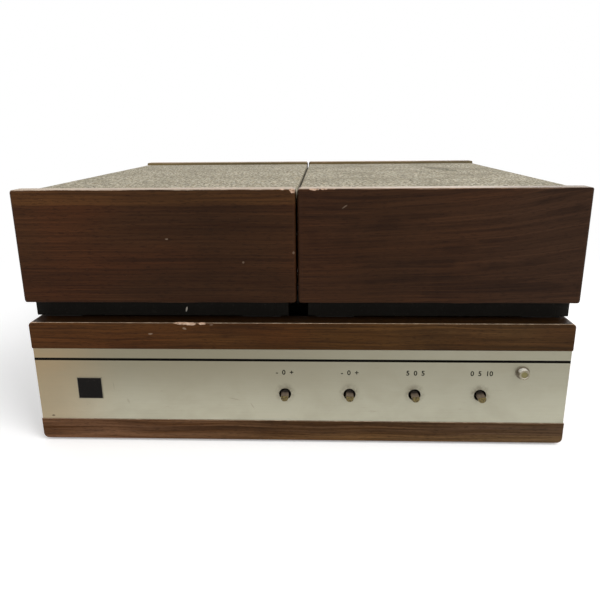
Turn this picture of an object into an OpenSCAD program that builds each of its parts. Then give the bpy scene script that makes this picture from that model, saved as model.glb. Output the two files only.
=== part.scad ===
// Reel-to-reel tape recorder. A walnut base holds the tape deck in a well below its rim, and two
// loudspeaker boxes that lie on the rim close the well like a lid. Sizes are in millimetres, +Z is up,
// the front faces -Y, and the origin is the middle of the overall box, on the floor.

/* [Base cabinet] */
// Width of the base
base_w = 420; // [410:1:460]
// Depth of the base and of the speakers on it
base_d = 370; // [364:1:420]
// Height of the base boards
base_h = 100; // [96:1:120]
// Thickness of the base boards
board_t = 19; // [17:0.5:20]
// Rounding of the upper side edges
edge_r = 3; // [0.5:0.5:4]
// Rounding of the lower side edges
low_edge_r = 4; // [1:0.5:6]
// Thickness of the bottom panel
bottom_t = 5; // [3:0.5:8]
// Width of a vent slot in the bottom panel
vent_w = 5; // [3:0.5:8]
// Length of a vent slot
vent_l = 38; // [20:1:40]
// Distance between neighbouring vent slots
vent_pitch = 16; // [12:1:24]
// Height of the rubber feet
foot_h = 2; // [1:0.5:5]
// Diameter of the rubber feet
foot_d = 18; // [12:1:24]
// Distance of the feet from the cabinet's sides, front and rear
foot_in = 34; // [32:1:60]

/* [Front panel] */
// Height of the wood band below the panel
panel_low = 17.6; // [15:0.2:20]
// Height of the wood band above the panel
band_top = 21.8; // [18:0.2:24]
// Thickness of the aluminium panel
panel_t = 2; // [1.5:0.1:3]
// Distance of the panel's face behind the wood
panel_recess = 0.4; // [0.2:0.1:1]
// Distance of the panel's ends from the cabinet's sides
panel_end = 0.8; // [0.4:0.1:2]
// Distance of the painted groove below the panel's upper edge
groove_down = 8.9; // [6:0.1:10]
// Width of the groove
groove_w = 1.7; // [1:0.1:3]
// Depth of the groove
groove_depth = 0.5; // [0.3:0.1:0.8]

/* [Controls] */
// Distance of the last control from the cabinet's right side
control_side = 67.5; // [60:0.5:80]
// Distance between neighbouring controls
control_pitch = 51; // [46:0.5:54]
// Height of the controls above the panel's lower edge
control_up = 23.2; // [21:0.1:28]
// Diameter of the control holes in the panel
control_hole_d = 9.4; // [8:0.1:12]
// Diameter of the control shafts
shaft_d = 6; // [5:0.05:6.35]
// Distance that the shafts stand out of the panel
shaft_out = 7.5; // [6:0.5:12]
// Thickness of a shaft across its flat
shaft_flat = 4.5; // [3.5:0.1:4.9]
// Length of the flat
flat_len = 9; // [6:0.5:12]
// Diameter of a potentiometer
pot_d = 24; // [16:1:28]
// Depth of a potentiometer
pot_len = 12; // [10:1:18]
// Diameter of a potentiometer's threaded bush
pot_bush_d = 9.5; // [9:0.1:10]
// Thickness of the bracket that carries the potentiometers
bracket_t = 1.5; // [1:0.1:2.5]
// Distance of the power button from the cabinet's right side
button_side = 36.5; // [32:0.5:42]
// Distance of the power button below the panel's upper edge
button_down = 17.8; // [16:0.1:20]
// Diameter of the power button
button_d = 8; // [7:0.1:10]
// Distance that the power button stands out of the panel
button_out = 5.5; // [4.5:0.1:7]
// Travel of the power button
button_travel = 3; // [2:0.1:3.5]

/* [Deck] */
// Depth of the deck plate's face below the rim
deck_drop = 28; // [26:1:32]
// Thickness of the deck plate
deck_t = 2; // [1.5:0.1:3]
// Least gap between the reels and the side boards
reel_side = 5; // [3:0.5:9]
// Gap between the two reels
reel_gap = 6; // [3:0.5:8]
// Gap between the reels and the rear board
reel_rear = 8; // [5:0.5:12]
// Diameter of the reel hubs
hub_d = 60; // [50:1:66]
// Depth of the wound tape on a hub
pack_t = 32; // [20:1:34]
// Width of the tape
tape_w = 6.3; // [6:0.05:6.4]
// Thickness of the drawn tape
tape_t = 0.3; // [0.2:0.05:0.4]
// Distance of the tape's straight run behind the front board
head_line = 93; // [91:1:97]
// Sideways place of the tape guides
guide_x = 72; // [70:1:74]
// Radius of the tape guides
guide_r = 4; // [3:0.5:5]
// Sideways place of the capstan
capstan_x = 40; // [38:0.5:44]
// Diameter of the capstan
capstan_d = 5; // [4:0.1:6]
// Diameter of the pressure roller
roller_d = 20; // [16:0.5:22]
// Angle that the pressure roller swings from rest to the capstan
roller_swing = 8; // [5:0.5:9]
// Diameter of the flywheel
flywheel_d = 68; // [56:1:72]
// Diameter of the motor pulley
pulley_d = 12; // [10:0.5:16]
// Number of keys
key_count = 5; // [5]
// Width of a key
key_w = 26; // [22:1:27]
// Depth of a key from front to rear
key_d = 32; // [28:1:36]
// Distance between neighbouring keys
key_pitch = 30; // [29:0.5:32]
// Distance of the keys' middle behind the front board
key_back = 27; // [25:1:30]
// Travel of a key
key_travel = 4; // [3:0.1:4.4]
// Distance of the level meter and the two deck knobs from the side boards
side_in = 53; // [49:1:61]
// Diameter of the recording level knob
level_knob_d = 36; // [28:1:40]
// Diameter of the speed knob
speed_knob_d = 26; // [20:1:30]

/* [Speakers] */
// Width of one speaker
speaker_w = 210; // [206:1:228]
// Gap between the two speakers
seam = 1.5; // [0.8:0.1:3]
// Thickness of the walnut end cheeks
cheek_t = 15; // [12:0.5:16]
// Height of the walnut end cheeks
cheek_h = 85.5; // [80:0.5:100]
// Height of the black skirt that shows below the cheeks
skirt_h = 16; // [12:0.5:20]
// Distance of the skirt from the cheek's end at the seam
skirt_in = 7; // [4:0.5:10]
// Distance of the skirt from the cheek's outer end
skirt_out = 1.6; // [0.4:0.2:4]
// Thickness of the skirt boards
skirt_t = 10; // [8:0.5:14]
// Thickness of the felt pads that the skirt stands on
pad_t = 1.2; // [0.8:0.2:3]
// Depth of the cloth below the top of the cheeks
cloth_drop = 3.3; // [2:0.1:5]
// Thickness of the grille cloth
cloth_t = 1; // [0.8:0.1:1.5]
// Thickness of the baffle
baffle_t = 12; // [10:0.5:16]
// Thickness of the back panel
back_t = 5; // [3:0.5:8]
// Diameter of the loudspeaker chassis
driver_d = 165; // [130:1:168]

/* [Hidden] */
$fn = 72;

// Clearances
cut = 1;          // overrun of a cutting tool past a face
run = 0.05;       // radial clearance of a shaft in its bore
slip = 0.3;       // clearance between faces that pass each other
snug = 0.1;       // clearance between fixed pieces
glue = 0.05;      // glue or solder line between two pieces of one unit

// Colours
walnut = "#4b2e1e";
black = "#1b1a19";
aluminium = "#b4b09c";
steel = "#a9abad";
chrome = "#d8d8d6";
cloth_grey = "#a49c8a";

// Heights
z_base = foot_h;
z_top = z_base + base_h;
z_panel = z_base + panel_low;
panel_h = base_h - panel_low - band_top;
z_control = z_panel + control_up;
z_button = z_panel + panel_h - button_down;
z_groove = z_panel + panel_h - groove_down;
z_deck = z_top - deck_drop;
z_under = z_deck - deck_t;
z_floor = z_base + bottom_t;
z_cheek = z_top + skirt_h;
z_lid = z_cheek + cheek_h;
z_cloth = z_lid - cloth_drop;
z_baffle = z_cloth - cloth_t - baffle_t;

// Depths: the shafts are what stands furthest forward
front_out = shaft_out - panel_recess;
y_front = -(base_d - front_out) / 2;
y_rear = y_front + base_d;
y_face = y_front + panel_recess;
y_channel = y_face + panel_t;
y_in = y_front + board_t;
y_in_rear = y_rear - board_t;
x_in = base_w / 2 - board_t;
batten_w = 10;
batten_h = 12;
batten_back = 30;

// Controls
control_xs = [for (i = [3:-1:0]) base_w / 2 - control_side - i * control_pitch];
button_x = base_w / 2 - button_side;
y_bracket = y_in + 4;
y_pot = y_bracket + bracket_t;
pot_bush_len = 7;
nut_d = 13;
nut_t = 2;
control_bore_d = 18;
switch_flange_d = button_d + 2.6;
switch_flange_t = 0.8;
switch_bush_d = button_d + 1.6;
switch_bore_d = switch_bush_d + 6;
switch_w = 18;
switch_h = 12;
switch_len = 24;
y_switch = y_in + slip;

// Reels: the largest standard size that fits, and heights above the deck plate
reel_room = x_in - reel_side - reel_gap / 2;
reel_large = 178;
reel_middle = 147;
reel_small = 127;
reel_sizes = [for (d = [reel_large, reel_middle, reel_small]) if (d <= reel_room) d];
reel_d = reel_sizes[0];
reel_x = (reel_d + reel_gap) / 2;
pack_d = hub_d + 2 * pack_t;
reel_y = y_in_rear - reel_rear - reel_d / 2;
table_d = 48;
table_up = 0.4;
table_top = 4;
flange_t = 1.5;
reel_space = 8;
spindle_d = 7.8;
spindle_up = 20;
reel_shaft_d = 8;
boss_d = 16;
boss_len = 16;
reel_bore_gap = 0.2;
rib_count = 3;
rib_out = 1.6;
rib_w = 2;
rib_drop = 2.5;
window_in = hub_d / 2 + 6;
window_out = pack_d / 2 - 1;
window_angle = 36;
reel_low = z_deck + table_top;
tape_z = reel_low + flange_t + (reel_space - tape_w) / 2;

// Tape route, seen from above: the supply side, mirrored for the take-up side
tape_y = y_in + head_line;
guide_path = guide_r + snug + tape_t / 2;
pack_path = pack_d / 2 + slip + tape_t / 2;
guide_at = [-guide_x, tape_y + guide_path];
supply_at = [-reel_x, reel_y];
takeup_at = [reel_x, reel_y];
leg = guide_at - supply_at;
leave_angle = atan2(leg[1], leg[0]) + acos((guide_path - pack_path) / norm(leg)) + 180;
guide_steps = 6;

// Head assembly
capstan_y = tape_y + tape_t / 2 + snug + capstan_d / 2;
head_w = 14;
head_l = 14;
head_xs = [-34, 4];
head_nose = 7;
head_plate_t = 4;
cover_x = guide_x + 12;
cover_front = 32;
cover_rear = 34;
cover_h = 20.5;
cover_t = 1.5;
pivot_d = 6;
pivot_at = [capstan_x + 34, tape_y - 22];
roller_pin_d = 4;
roller_h = 10;
roller_low = 4.2;
roller_engaged = [capstan_x, tape_y - tape_t / 2 - slip - roller_d / 2];
arm_low = 1;
arm_t = 2.5;
arm_w = 10;
hub_up = 12;

// Drive: the flywheel, its pulley and the belt in one plane
flywheel_t = 12;
flywheel_z = z_floor + 26;
flywheel_at = [capstan_x, capstan_y];
motor_d = 56;
motor_left = 85;
motor_back = 18;
motor_at = [capstan_x - motor_left, tape_y + motor_back];
motor_shaft_in = 12;
capstan_up = 17;
motor_low = flywheel_z + flywheel_t + 3;
motor_shaft_d = 4;
belt_t = 0.8;
belt_w = 5;
belt_z = flywheel_z + (flywheel_t - belt_w) / 2;
belt_gap = 0.2;
bearing_d = 16;
bearing_flange_t = 3;
bridge_w = 16;
bridge_t = 3;
bridge_out = flywheel_d / 2 + 5;
bridge_z = flywheel_z - 6;

// Keys, meter, counter and knobs
side_x = x_in - side_in;
key_y = y_in + key_back;
key_names = ["record", "rewind", "stop", "play", "forward"];
key_low = 5;
key_cap_h = 8;
key_stem = 8;
key_stem_down = 14;
key_frame_h = 6;
key_rim = 5;
meter_w = 48;
meter_d = 34;
meter_h = 10;
meter_wall = 4;
meter_floor = 3;
meter_y = key_y + 8;
needle_len = 18;
needle_w = 0.9;
needle_pin_d = 1.6;
needle_rest = 130;
needle_at = [-side_x, meter_y - 9];
window_t = 1.2;
counter_w = 36;
counter_d = 16;
counter_h = 9;
counter_y = tape_y + cover_rear + 6 + counter_d / 2;
wheel_d = 8;
wheel_w = 6.4;
knob_shaft_d = 6;
knob_up = 1;
level_at = [side_x, key_y + 4];
speed_at = [side_x, tape_y - 4];
level_h = 14;
speed_h = 11;

// Amplifier and mains transformer, set from the cabinet's inner sides
amp_w = 146;
amp_d = 120;
amp_t = 1.6;
amp_up = 6;
amp_in = 8;
amp_side = 21;
amp_rear = 49;
amp_x = x_in - amp_side - amp_w;
amp_y = y_in_rear - amp_rear - amp_d;
pillar_d = 6;
cap_d = 18;
cap_h = 28;
cap_in = 34;
cap_back = 34;
cap_pitch = 26;
sink_in = 16;
sink_back = 24;
sink_t = 3;
sink_h = 30;
chip_w = 16;
chip_t = 5;
chip_up = 8;
core_w = 66;
core_d = 30;
core_h = 54;
limb_w = 22;
coil_h = 30;
coil_out = 9;
core_side = 28;
core_rear = 124;
core_x = -x_in + core_side + core_w / 2;
core_y = y_in_rear - core_rear - core_d / 2;

// Rear connections
plate_x = 70;
plate_z = z_base + 48;
plate_w = 120;
plate_h = 34;
plate_t = 2;
socket_xs = [for (i = [-1:1]) plate_x + i * 34];
gland_x = -150;
gland_z = z_base + 34;
gland_bore_d = 7.2;
gland_d = 12;
gland_flange_d = 18;
gland_flange_t = 3;
gland_in = 0.5;

// Speakers, for the right one
x_seam = seam / 2;
x_side = x_seam + speaker_w;
x_skirt = x_seam + skirt_in;
x_skirt_out = x_side - skirt_out;
z_skirt = z_top + pad_t;
pad_w = 30;
pad_d = 3;
pad_side = 6;
pad_back = 1;
y_cheek = y_front + cheek_t;
y_cheek_rear = y_rear - cheek_t;
back_up = 3;
cloth_gap = 0.3;
driver_at = [(x_skirt + x_skirt_out) / 2, (y_front + y_rear) / 2];
driver_rim_t = 3;
driver_lip = 7;
driver_edge = 4;
magnet_d = 70;
magnet_t = 20;
basket_back = 12;
cone_depth = 22;
cone_t = 1.5;
dome_d = 28;
dome_up = 6;

// A block between two corners
module block(x0, x1, y0, y1, z0, z1) {
    translate([x0, y0, z0]) cube([x1 - x0, y1 - y0, z1 - z0]);
}

// An upright rod
module rod_z(at, d, z0, z1) {
    translate([at[0], at[1], z0]) cylinder(d = d, h = z1 - z0);
}

// A rod from front to rear
module rod_y(x, z, d, y0, y1) {
    translate([x, y0, z]) rotate([-90, 0, 0]) cylinder(d = d, h = y1 - y0);
}

// An outline in X and Z, drawn out from y0 to y1
module along_y(y0, y1) {
    translate([0, y1, 0]) rotate([90, 0, 0]) linear_extrude(y1 - y0) children();
}

// Mirrors the right-hand piece for the left side
module on_left() {
    mirror([1, 0, 0]) children();
}

// Points on an arc
function arc(centre, r, a0, a1, steps) =
    [for (i = [0:steps]) let (a = a0 + (a1 - a0) * i / steps) centre + r * [cos(a), sin(a)]];

// The same points, mirrored and in reverse order
function mirrored(points) = [for (i = [len(points) - 1:-1:0]) [-points[i][0], points[i][1]]];

// Points round two circles and their outer tangents
function round_two(c1, r1, c2, r2, steps) =
    let (d = c2 - c1, turn = atan2(d[1], d[0]), half = acos((r1 - r2) / norm(d)))
    concat(arc(c1, r1, turn + half, turn + 360 - half, steps), arc(c2, r2, turn - half, turn + half, steps));

// Half of the cabinet's front outline, from below to above
function side_points() = concat(
    arc([base_w / 2 - low_edge_r, z_base + low_edge_r], low_edge_r, -90, 0, 6),
    arc([base_w / 2 - edge_r, z_top - edge_r], edge_r, 0, 90, 6));

module cabinet_outline() {
    polygon(concat(side_points(), mirrored(side_points())));
}

module front_board() color(walnut) difference() {
    along_y(y_front, y_in) cabinet_outline();
    block(-base_w / 2 - cut, base_w / 2 + cut, y_front - cut, y_channel,
        z_panel - snug, z_panel + panel_h + snug);
    for (x = control_xs) rod_y(x, z_control, control_bore_d, y_front, y_in + cut);
    rod_y(button_x, z_button, switch_bore_d, y_front, y_in + cut);
}

module side_boards() color(walnut) for (side = [0, 1]) mirror([side, 0, 0]) {
    along_y(y_in, y_in_rear)
        polygon(concat([[x_in, z_top], [x_in, z_base]], side_points()));
    // Batten that carries the deck plate
    block(x_in - batten_w, x_in - glue, y_in + batten_back, y_in_rear, z_under - batten_h, z_under);
}

module rear_board() color(walnut) difference() {
    along_y(y_in_rear, y_rear) cabinet_outline();
    block(plate_x - plate_w / 2 - snug, plate_x + plate_w / 2 + snug, y_rear - plate_t, y_rear + cut,
        plate_z - plate_h / 2 - snug, plate_z + plate_h / 2 + snug);
    rod_y(gland_x, gland_z, gland_d + 2 * snug, y_in_rear - cut, y_rear + cut);
    rod_y(gland_x, gland_z, gland_flange_d + 2 * snug, y_rear - gland_in - gland_flange_t, y_rear + cut);
}

module bottom_panel() color("#6b543c") difference() {
    block(-x_in, x_in, y_in, y_in_rear, z_base, z_floor);
    for (i = [-4:4], row = [-1, 1])
        block(i * vent_pitch - vent_w / 2, i * vent_pitch + vent_w / 2,
            row * vent_l - vent_l / 2, row * vent_l + vent_l / 2, z_base - cut, z_floor + cut);
}

module rubber_feet() color(black)
    for (x = [-base_w / 2 + foot_in, base_w / 2 - foot_in], y = [y_front + foot_in, y_rear - foot_in])
        rod_z([x, y], foot_d, 0, z_base);

module front_panel() color(aluminium) difference() {
    block(-base_w / 2 + panel_end, base_w / 2 - panel_end, y_face, y_channel, z_panel, z_panel + panel_h);
    for (x = control_xs) rod_y(x, z_control, control_hole_d, y_face - cut, y_channel + cut);
    rod_y(button_x, z_button, switch_bush_d + 2 * snug, y_face - cut, y_channel + cut);
    block(-base_w / 2, base_w / 2, y_face - cut, y_face + groove_depth,
        z_groove - groove_w / 2, z_groove + groove_w / 2);
}

module control_bracket() color(steel) difference() {
    union() {
        block(control_xs[0] - 22, control_xs[3] + 16, y_bracket, y_pot, z_floor, z_control + 16);
        block(control_xs[0] - 22, control_xs[3] + 16, y_bracket, y_pot + 14, z_floor, z_floor + bracket_t);
    }
    for (x = control_xs) rod_y(x, z_control, pot_bush_d + 2 * snug, y_bracket - cut, y_pot + cut);
}

// Each potentiometer: a can behind the bracket, and a bush and nut in front of it
module potentiometers() color("#8d8a80") for (x = control_xs) difference() {
    union() {
        rod_y(x, z_control, pot_d, y_pot, y_pot + pot_len);
        rod_y(x, z_control, pot_bush_d, y_bracket - pot_bush_len, y_pot + cut);
        rod_y(x, z_control, nut_d, y_bracket - nut_t, y_bracket);
    }
    rod_y(x, z_control, shaft_d + 2 * run, y_bracket - pot_bush_len - cut, y_pot + pot_len - 2);
}

// A control shaft with its flat turned by an angle from straight up
module control_shaft(i, turn) {
    y_end = y_face - shaft_out;
    color("#7c7160") translate([control_xs[i], 0, z_control]) rotate([0, turn, 0]) difference() {
        rod_y(0, 0, shaft_d, y_end, y_pot + pot_len - 2 - slip);
        block(-shaft_d, shaft_d, y_end - cut, y_end + flat_len, shaft_flat - shaft_d / 2, shaft_d);
    }
}

module treble_shaft() control_shaft(0, 0);
module bass_shaft() control_shaft(1, 6);
module balance_shaft() control_shaft(2, -6);
module volume_shaft() control_shaft(3, -10);

// Push switch: a flanged bush held in the panel and a body behind the front board
module power_switch() color(chrome) difference() {
    union() {
        rod_y(button_x, z_button, switch_flange_d, y_face - switch_flange_t, y_face);
        rod_y(button_x, z_button, switch_bush_d, y_face - switch_flange_t, y_switch + cut);
        block(button_x - switch_w / 2, button_x + switch_w / 2, y_switch, y_switch + switch_len,
            z_button - switch_h / 2, z_button + switch_h / 2);
    }
    rod_y(button_x, z_button, button_d + 2 * run, y_face - switch_flange_t - cut,
        y_switch + button_travel + 2 * slip);
}

// Power button with a dished face
module power_button() color(chrome) difference() {
    rod_y(button_x, z_button, button_d, y_face - button_out, y_switch + slip);
    rod_y(button_x, z_button, button_d - 2.2, y_face - button_out - cut, y_face - button_out + 0.6);
}

// Circuit board on pillars, with capacitors and a cooling plate that carries the transistors
module amplifier_board() {
    z0 = z_floor + amp_up;
    z1 = z0 + amp_t + glue;
    y_sink = amp_y + amp_d - sink_back;
    color("#7d6a3a") block(amp_x, amp_x + amp_w, amp_y, amp_y + amp_d, z0, z0 + amp_t);
    color(steel) for (x = [amp_in, amp_w - amp_in], y = [amp_in, amp_d - amp_in])
        rod_z([amp_x + x, amp_y + y], pillar_d, z_floor, z0 - glue);
    color("#2f4a6a") for (i = [0:3])
        rod_z([amp_x + cap_in + i * cap_pitch, amp_y + cap_back], cap_d, z1, z1 + cap_h);
    color(steel) block(amp_x + sink_in, amp_x + amp_w - sink_in, y_sink, y_sink + sink_t, z1, z1 + sink_h);
    color(black) for (i = [0:3]) let (x = amp_x + cap_in + i * cap_pitch)
        block(x - chip_w / 2, x + chip_w / 2, y_sink - chip_t, y_sink - glue,
            z1 + chip_up, z1 + chip_up + chip_w);
}

// Transformer: a core with two windows, and the coil on its middle limb
module mains_transformer() {
    window = (core_w - 2 * limb_w) / 2 + cut;
    at = [core_x, core_y, z_floor + core_h / 2];
    color("#55585c") translate(at) difference() {
        cube([core_w, core_d, core_h], center = true);
        for (side = [-1, 1]) translate([side * (limb_w + window) / 2, 0, 0])
            cube([window, core_d + 2 * cut, coil_h], center = true);
    }
    color("#9a6a34") translate(at) difference() {
        cube([limb_w + 2 * window - 2 * snug, core_d + 2 * coil_out, coil_h - 2 * snug], center = true);
        cube([limb_w + 2 * snug, core_d + 2 * snug, coil_h + cut], center = true);
    }
}

// Rear plate with three round sockets, and the gland of the mains lead
module connector_panel() {
    color(black) difference() {
        block(plate_x - plate_w / 2, plate_x + plate_w / 2, y_rear - plate_t, y_rear,
            plate_z - plate_h / 2, plate_z + plate_h / 2);
        for (x = socket_xs) difference() {
            rod_y(x, plate_z, 14, y_rear - 1.4, y_rear + cut);
            rod_y(x, plate_z, 11.6, y_rear - plate_t, y_rear + 2 * cut);
        }
    }
    color(black) difference() {
        union() {
            rod_y(gland_x, gland_z, gland_d, y_in_rear - 4, y_rear - gland_in);
            rod_y(gland_x, gland_z, gland_flange_d, y_rear - gland_in - gland_flange_t, y_rear - gland_in);
        }
        rod_y(gland_x, gland_z, gland_bore_d, y_in_rear - 4 - cut, y_rear);
    }
}

// Deck plate with the bearing bosses of the reels and knobs below it
module deck_plate() color("#c3c2bb") difference() {
    union() {
        block(-x_in + slip, x_in - slip, y_in + slip, y_in_rear - slip, z_under, z_deck);
        for (at = [supply_at, takeup_at, level_at, speed_at])
            rod_z(at, boss_d, z_under - boss_len, z_under - glue);
    }
    for (at = [supply_at, takeup_at])
        rod_z(at, reel_shaft_d + 2 * run, z_under - boss_len - cut, z_deck + cut);
    for (at = [level_at, speed_at])
        rod_z(at, knob_shaft_d + 2 * run, z_under - boss_len - cut, z_deck + cut);
    rod_z(flywheel_at, bearing_d + 2 * snug, z_under - cut, z_deck + cut);
    for (i = [0:key_count - 1]) block(key_place(i) - key_stem / 2 - slip, key_place(i) + key_stem / 2 + slip,
        key_y - key_stem / 2 - slip, key_y + key_stem / 2 + slip, z_under - cut, z_deck + cut);
}

module head_block() color(steel)
    block(head_xs[0] - 16, head_xs[1] + 14, tape_y + 4, tape_y + 26, z_deck, z_deck + head_plate_t);

module tape_heads() color("#c9c6bd") for (x = head_xs) {
    nose = tape_y + tape_t / 2 + snug;
    translate([x, nose + head_nose, z_deck + head_plate_t]) cylinder(r = head_nose, h = 12);
    block(x - head_w / 2, x + head_w / 2, nose + head_nose, nose + head_nose + head_l,
        z_deck + head_plate_t, z_deck + head_plate_t + 12);
}

// Cover over the heads, open at both ends for the tape
module head_cover() color(black) difference() {
    block(-cover_x, cover_x, tape_y - cover_front, tape_y + cover_rear, z_deck, z_deck + cover_h);
    block(-cover_x - cut, cover_x + cut, tape_y - cover_front + cover_t, tape_y + cover_rear - cover_t,
        z_deck - cut, z_deck + cover_h - cover_t);
}

// Flanged guide posts of the tape, and the plain post of the pressure roller's arm
module tape_guides() color(chrome) {
    for (s = [-1, 1]) {
        at = [s * guide_x, guide_at[1]];
        rod_z(at, 2 * guide_r + 4, z_deck, tape_z - slip);
        rod_z(at, 2 * guide_r, tape_z - slip - cut, tape_z + tape_w + slip + cut);
        rod_z(at, 2 * guide_r + 4, tape_z + tape_w + slip, tape_z + tape_w + slip + 1.5);
    }
    rod_z(pivot_at, pivot_d, z_deck, z_deck + hub_up + 2);
}

// Capstan bearing with the bridge that carries the flywheel's lower end
module capstan_bearing() color("#b08a4a") difference() {
    union() {
        rod_z(flywheel_at, bearing_d, flywheel_z + flywheel_t + slip, z_deck + 0.4);
        translate([capstan_x, capstan_y, 0]) {
            block(-bridge_w / 2, bridge_w / 2, -bridge_out - bridge_t, bridge_out + bridge_t,
                z_under - bearing_flange_t, z_under);
            for (s = [-1, 1]) translate([0, s * (bridge_out + bridge_t / 2), 0])
                block(-bridge_w / 2, bridge_w / 2, -bridge_t / 2, bridge_t / 2, bridge_z - bridge_t, z_under);
            block(-bridge_w / 2, bridge_w / 2, -bridge_out - bridge_t, bridge_out + bridge_t,
                bridge_z - bridge_t, bridge_z);
        }
    }
    rod_z(flywheel_at, capstan_d + 2 * run, flywheel_z, z_deck + cut);
}

module drive_motor() color("#8f9296") difference() {
    rod_z(motor_at, motor_d, motor_low, z_under);
    rod_z(motor_at, motor_shaft_d + 2 * run, motor_low - cut, motor_low + motor_shaft_in + 2 * cut);
}

module drive_belt() color(black) translate([0, 0, belt_z]) linear_extrude(belt_w) difference() {
    polygon(round_two(flywheel_at, flywheel_d / 2 + belt_gap + belt_t,
        motor_at, pulley_d / 2 + belt_gap + belt_t, 40));
    polygon(round_two(flywheel_at, flywheel_d / 2 + belt_gap, motor_at, pulley_d / 2 + belt_gap, 40));
}

// One edge of the tape's route on the supply side, a given distance outside its middle line
function tape_edge(out) = concat(
    [supply_at + (pack_path + out) * [cos(leave_angle), sin(leave_angle)]],
    arc(guide_at, guide_path + out, leave_angle, 270, guide_steps));

function tape_side(out) = concat(tape_edge(out), mirrored(tape_edge(out)));

function reversed(points) = [for (i = [len(points) - 1:-1:0]) points[i]];

module tape() color("#4a2a1a") translate([0, 0, tape_z]) linear_extrude(tape_w)
    polygon(concat(tape_side(tape_t / 2), reversed(tape_side(-tape_t / 2))));

// Level meter: a case with a dial floor and the needle's pin
module level_meter() color(black) union() {
    difference() {
        translate([-side_x, meter_y, z_deck])
            block(-meter_w / 2, meter_w / 2, -meter_d / 2, meter_d / 2, 0, meter_h);
        translate([-side_x, meter_y, z_deck])
            block(-meter_w / 2 + meter_wall, meter_w / 2 - meter_wall,
                -meter_d / 2 + meter_wall, meter_d / 2 - meter_wall, meter_floor, meter_h + cut);
    }
    rod_z(needle_at, needle_pin_d, z_deck + meter_floor - cut, z_deck + meter_floor + 3);
}

module meter_window() color("#cfe0e6", 0.4) translate([-side_x, meter_y, z_deck])
    block(-meter_w / 2 + meter_wall + snug, meter_w / 2 - meter_wall - snug,
        -meter_d / 2 + meter_wall + snug, meter_d / 2 - meter_wall - snug, meter_h - window_t, meter_h);

module meter_needle() color("#b02a20") translate([needle_at[0], needle_at[1], z_deck + meter_floor + slip])
    difference() {
        union() {
            cylinder(d = needle_pin_d + 3, h = 1.6);
            rotate(needle_rest) translate([0, -needle_w / 2, 0.4]) cube([needle_len, needle_w, 0.8]);
        }
        translate([0, 0, -cut]) cylinder(d = needle_pin_d + 2 * run, h = 4);
    }

// Tape counter: a case with a slot, and three number wheels on one axle
module tape_counter() {
    slot_w = 3 * wheel_w + 3;
    color(black) translate([0, counter_y, z_deck]) difference() {
        block(-counter_w / 2, counter_w / 2, -counter_d / 2, counter_d / 2, 0, counter_h);
        block(-slot_w / 2, slot_w / 2, -wheel_d / 2 - slip, wheel_d / 2 + slip, -cut, counter_h + cut);
    }
    color("#e6e2d8") translate([0, counter_y, z_deck + wheel_d / 2 + slip]) rotate([0, 90, 0]) union() {
        for (i = [-1:1]) translate([0, 0, i * (wheel_w + 0.4) - wheel_w / 2])
            cylinder(d = wheel_d, h = wheel_w);
        translate([0, 0, -slot_w / 2 + glue]) cylinder(d = 2, h = slot_w - 2 * glue);
    }
}

function key_place(i) = (i - (key_count - 1) / 2) * key_pitch;

module key_frame() color(black) difference() {
    block(key_place(0) - key_w / 2 - key_rim, key_place(key_count - 1) + key_w / 2 + key_rim,
        key_y - key_d / 2 - key_rim, key_y + key_d / 2 + key_rim, z_deck, z_deck + key_frame_h);
    for (i = [0:key_count - 1])
        block(key_place(i) - key_w / 2 - slip, key_place(i) + key_w / 2 + slip,
            key_y - key_d / 2 - slip, key_y + key_d / 2 + slip, z_deck - cut, z_deck + key_frame_h + cut);
}

// A key: a cap with a finger hollow across it, on a stem through the deck plate
module key(i, paint) color(paint) difference() {
    union() {
        block(key_place(i) - key_w / 2, key_place(i) + key_w / 2, key_y - key_d / 2, key_y + key_d / 2,
            z_deck + key_low, z_deck + key_low + key_cap_h);
        block(key_place(i) - key_stem / 2, key_place(i) + key_stem / 2, key_y - key_stem / 2,
            key_y + key_stem / 2, z_deck - key_stem_down, z_deck + key_low);
    }
    translate([key_place(i) - key_w / 2 - cut, key_y - 4, z_deck + key_low + key_cap_h + 38])
        rotate([0, 90, 0]) cylinder(r = 40, h = key_w + 2 * cut, $fn = 180);
}

module record_key() key(0, "#a82a22");
module rewind_key() key(1, "#ddd7c6");
module stop_key() key(2, "#ddd7c6");
module play_key() key(3, "#ddd7c6");
module forward_key() key(4, "#ddd7c6");

// Drive ribs round a spindle from one height to another; gap widens them for the reel's slots
module drive_ribs(gap, z0, z1) for (i = [0 : rib_count - 1]) rotate(30 + i * 360 / rib_count)
    block(0, spindle_d / 2 + rib_out + gap, -rib_w / 2 - gap, rib_w / 2 + gap, z0, z1);

// Reel table: a disc and a spindle with drive ribs, on a shaft through the deck plate
module reel_table(at) color(black) translate([at[0], at[1], z_deck]) union() {
    translate([0, 0, table_up]) cylinder(d = table_d, h = table_top - table_up);
    translate([0, 0, -deck_t - boss_len - 2])
        cylinder(d = reel_shaft_d, h = deck_t + boss_len + 2 + table_up + cut);
    translate([0, 0, table_top - cut]) cylinder(d = spindle_d, h = spindle_up - table_top + cut);
    drive_ribs(0, table_top - cut, spindle_up - rib_drop);
}

module supply_reel_table() reel_table(supply_at);
module takeup_reel_table() reel_table(takeup_at);

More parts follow.
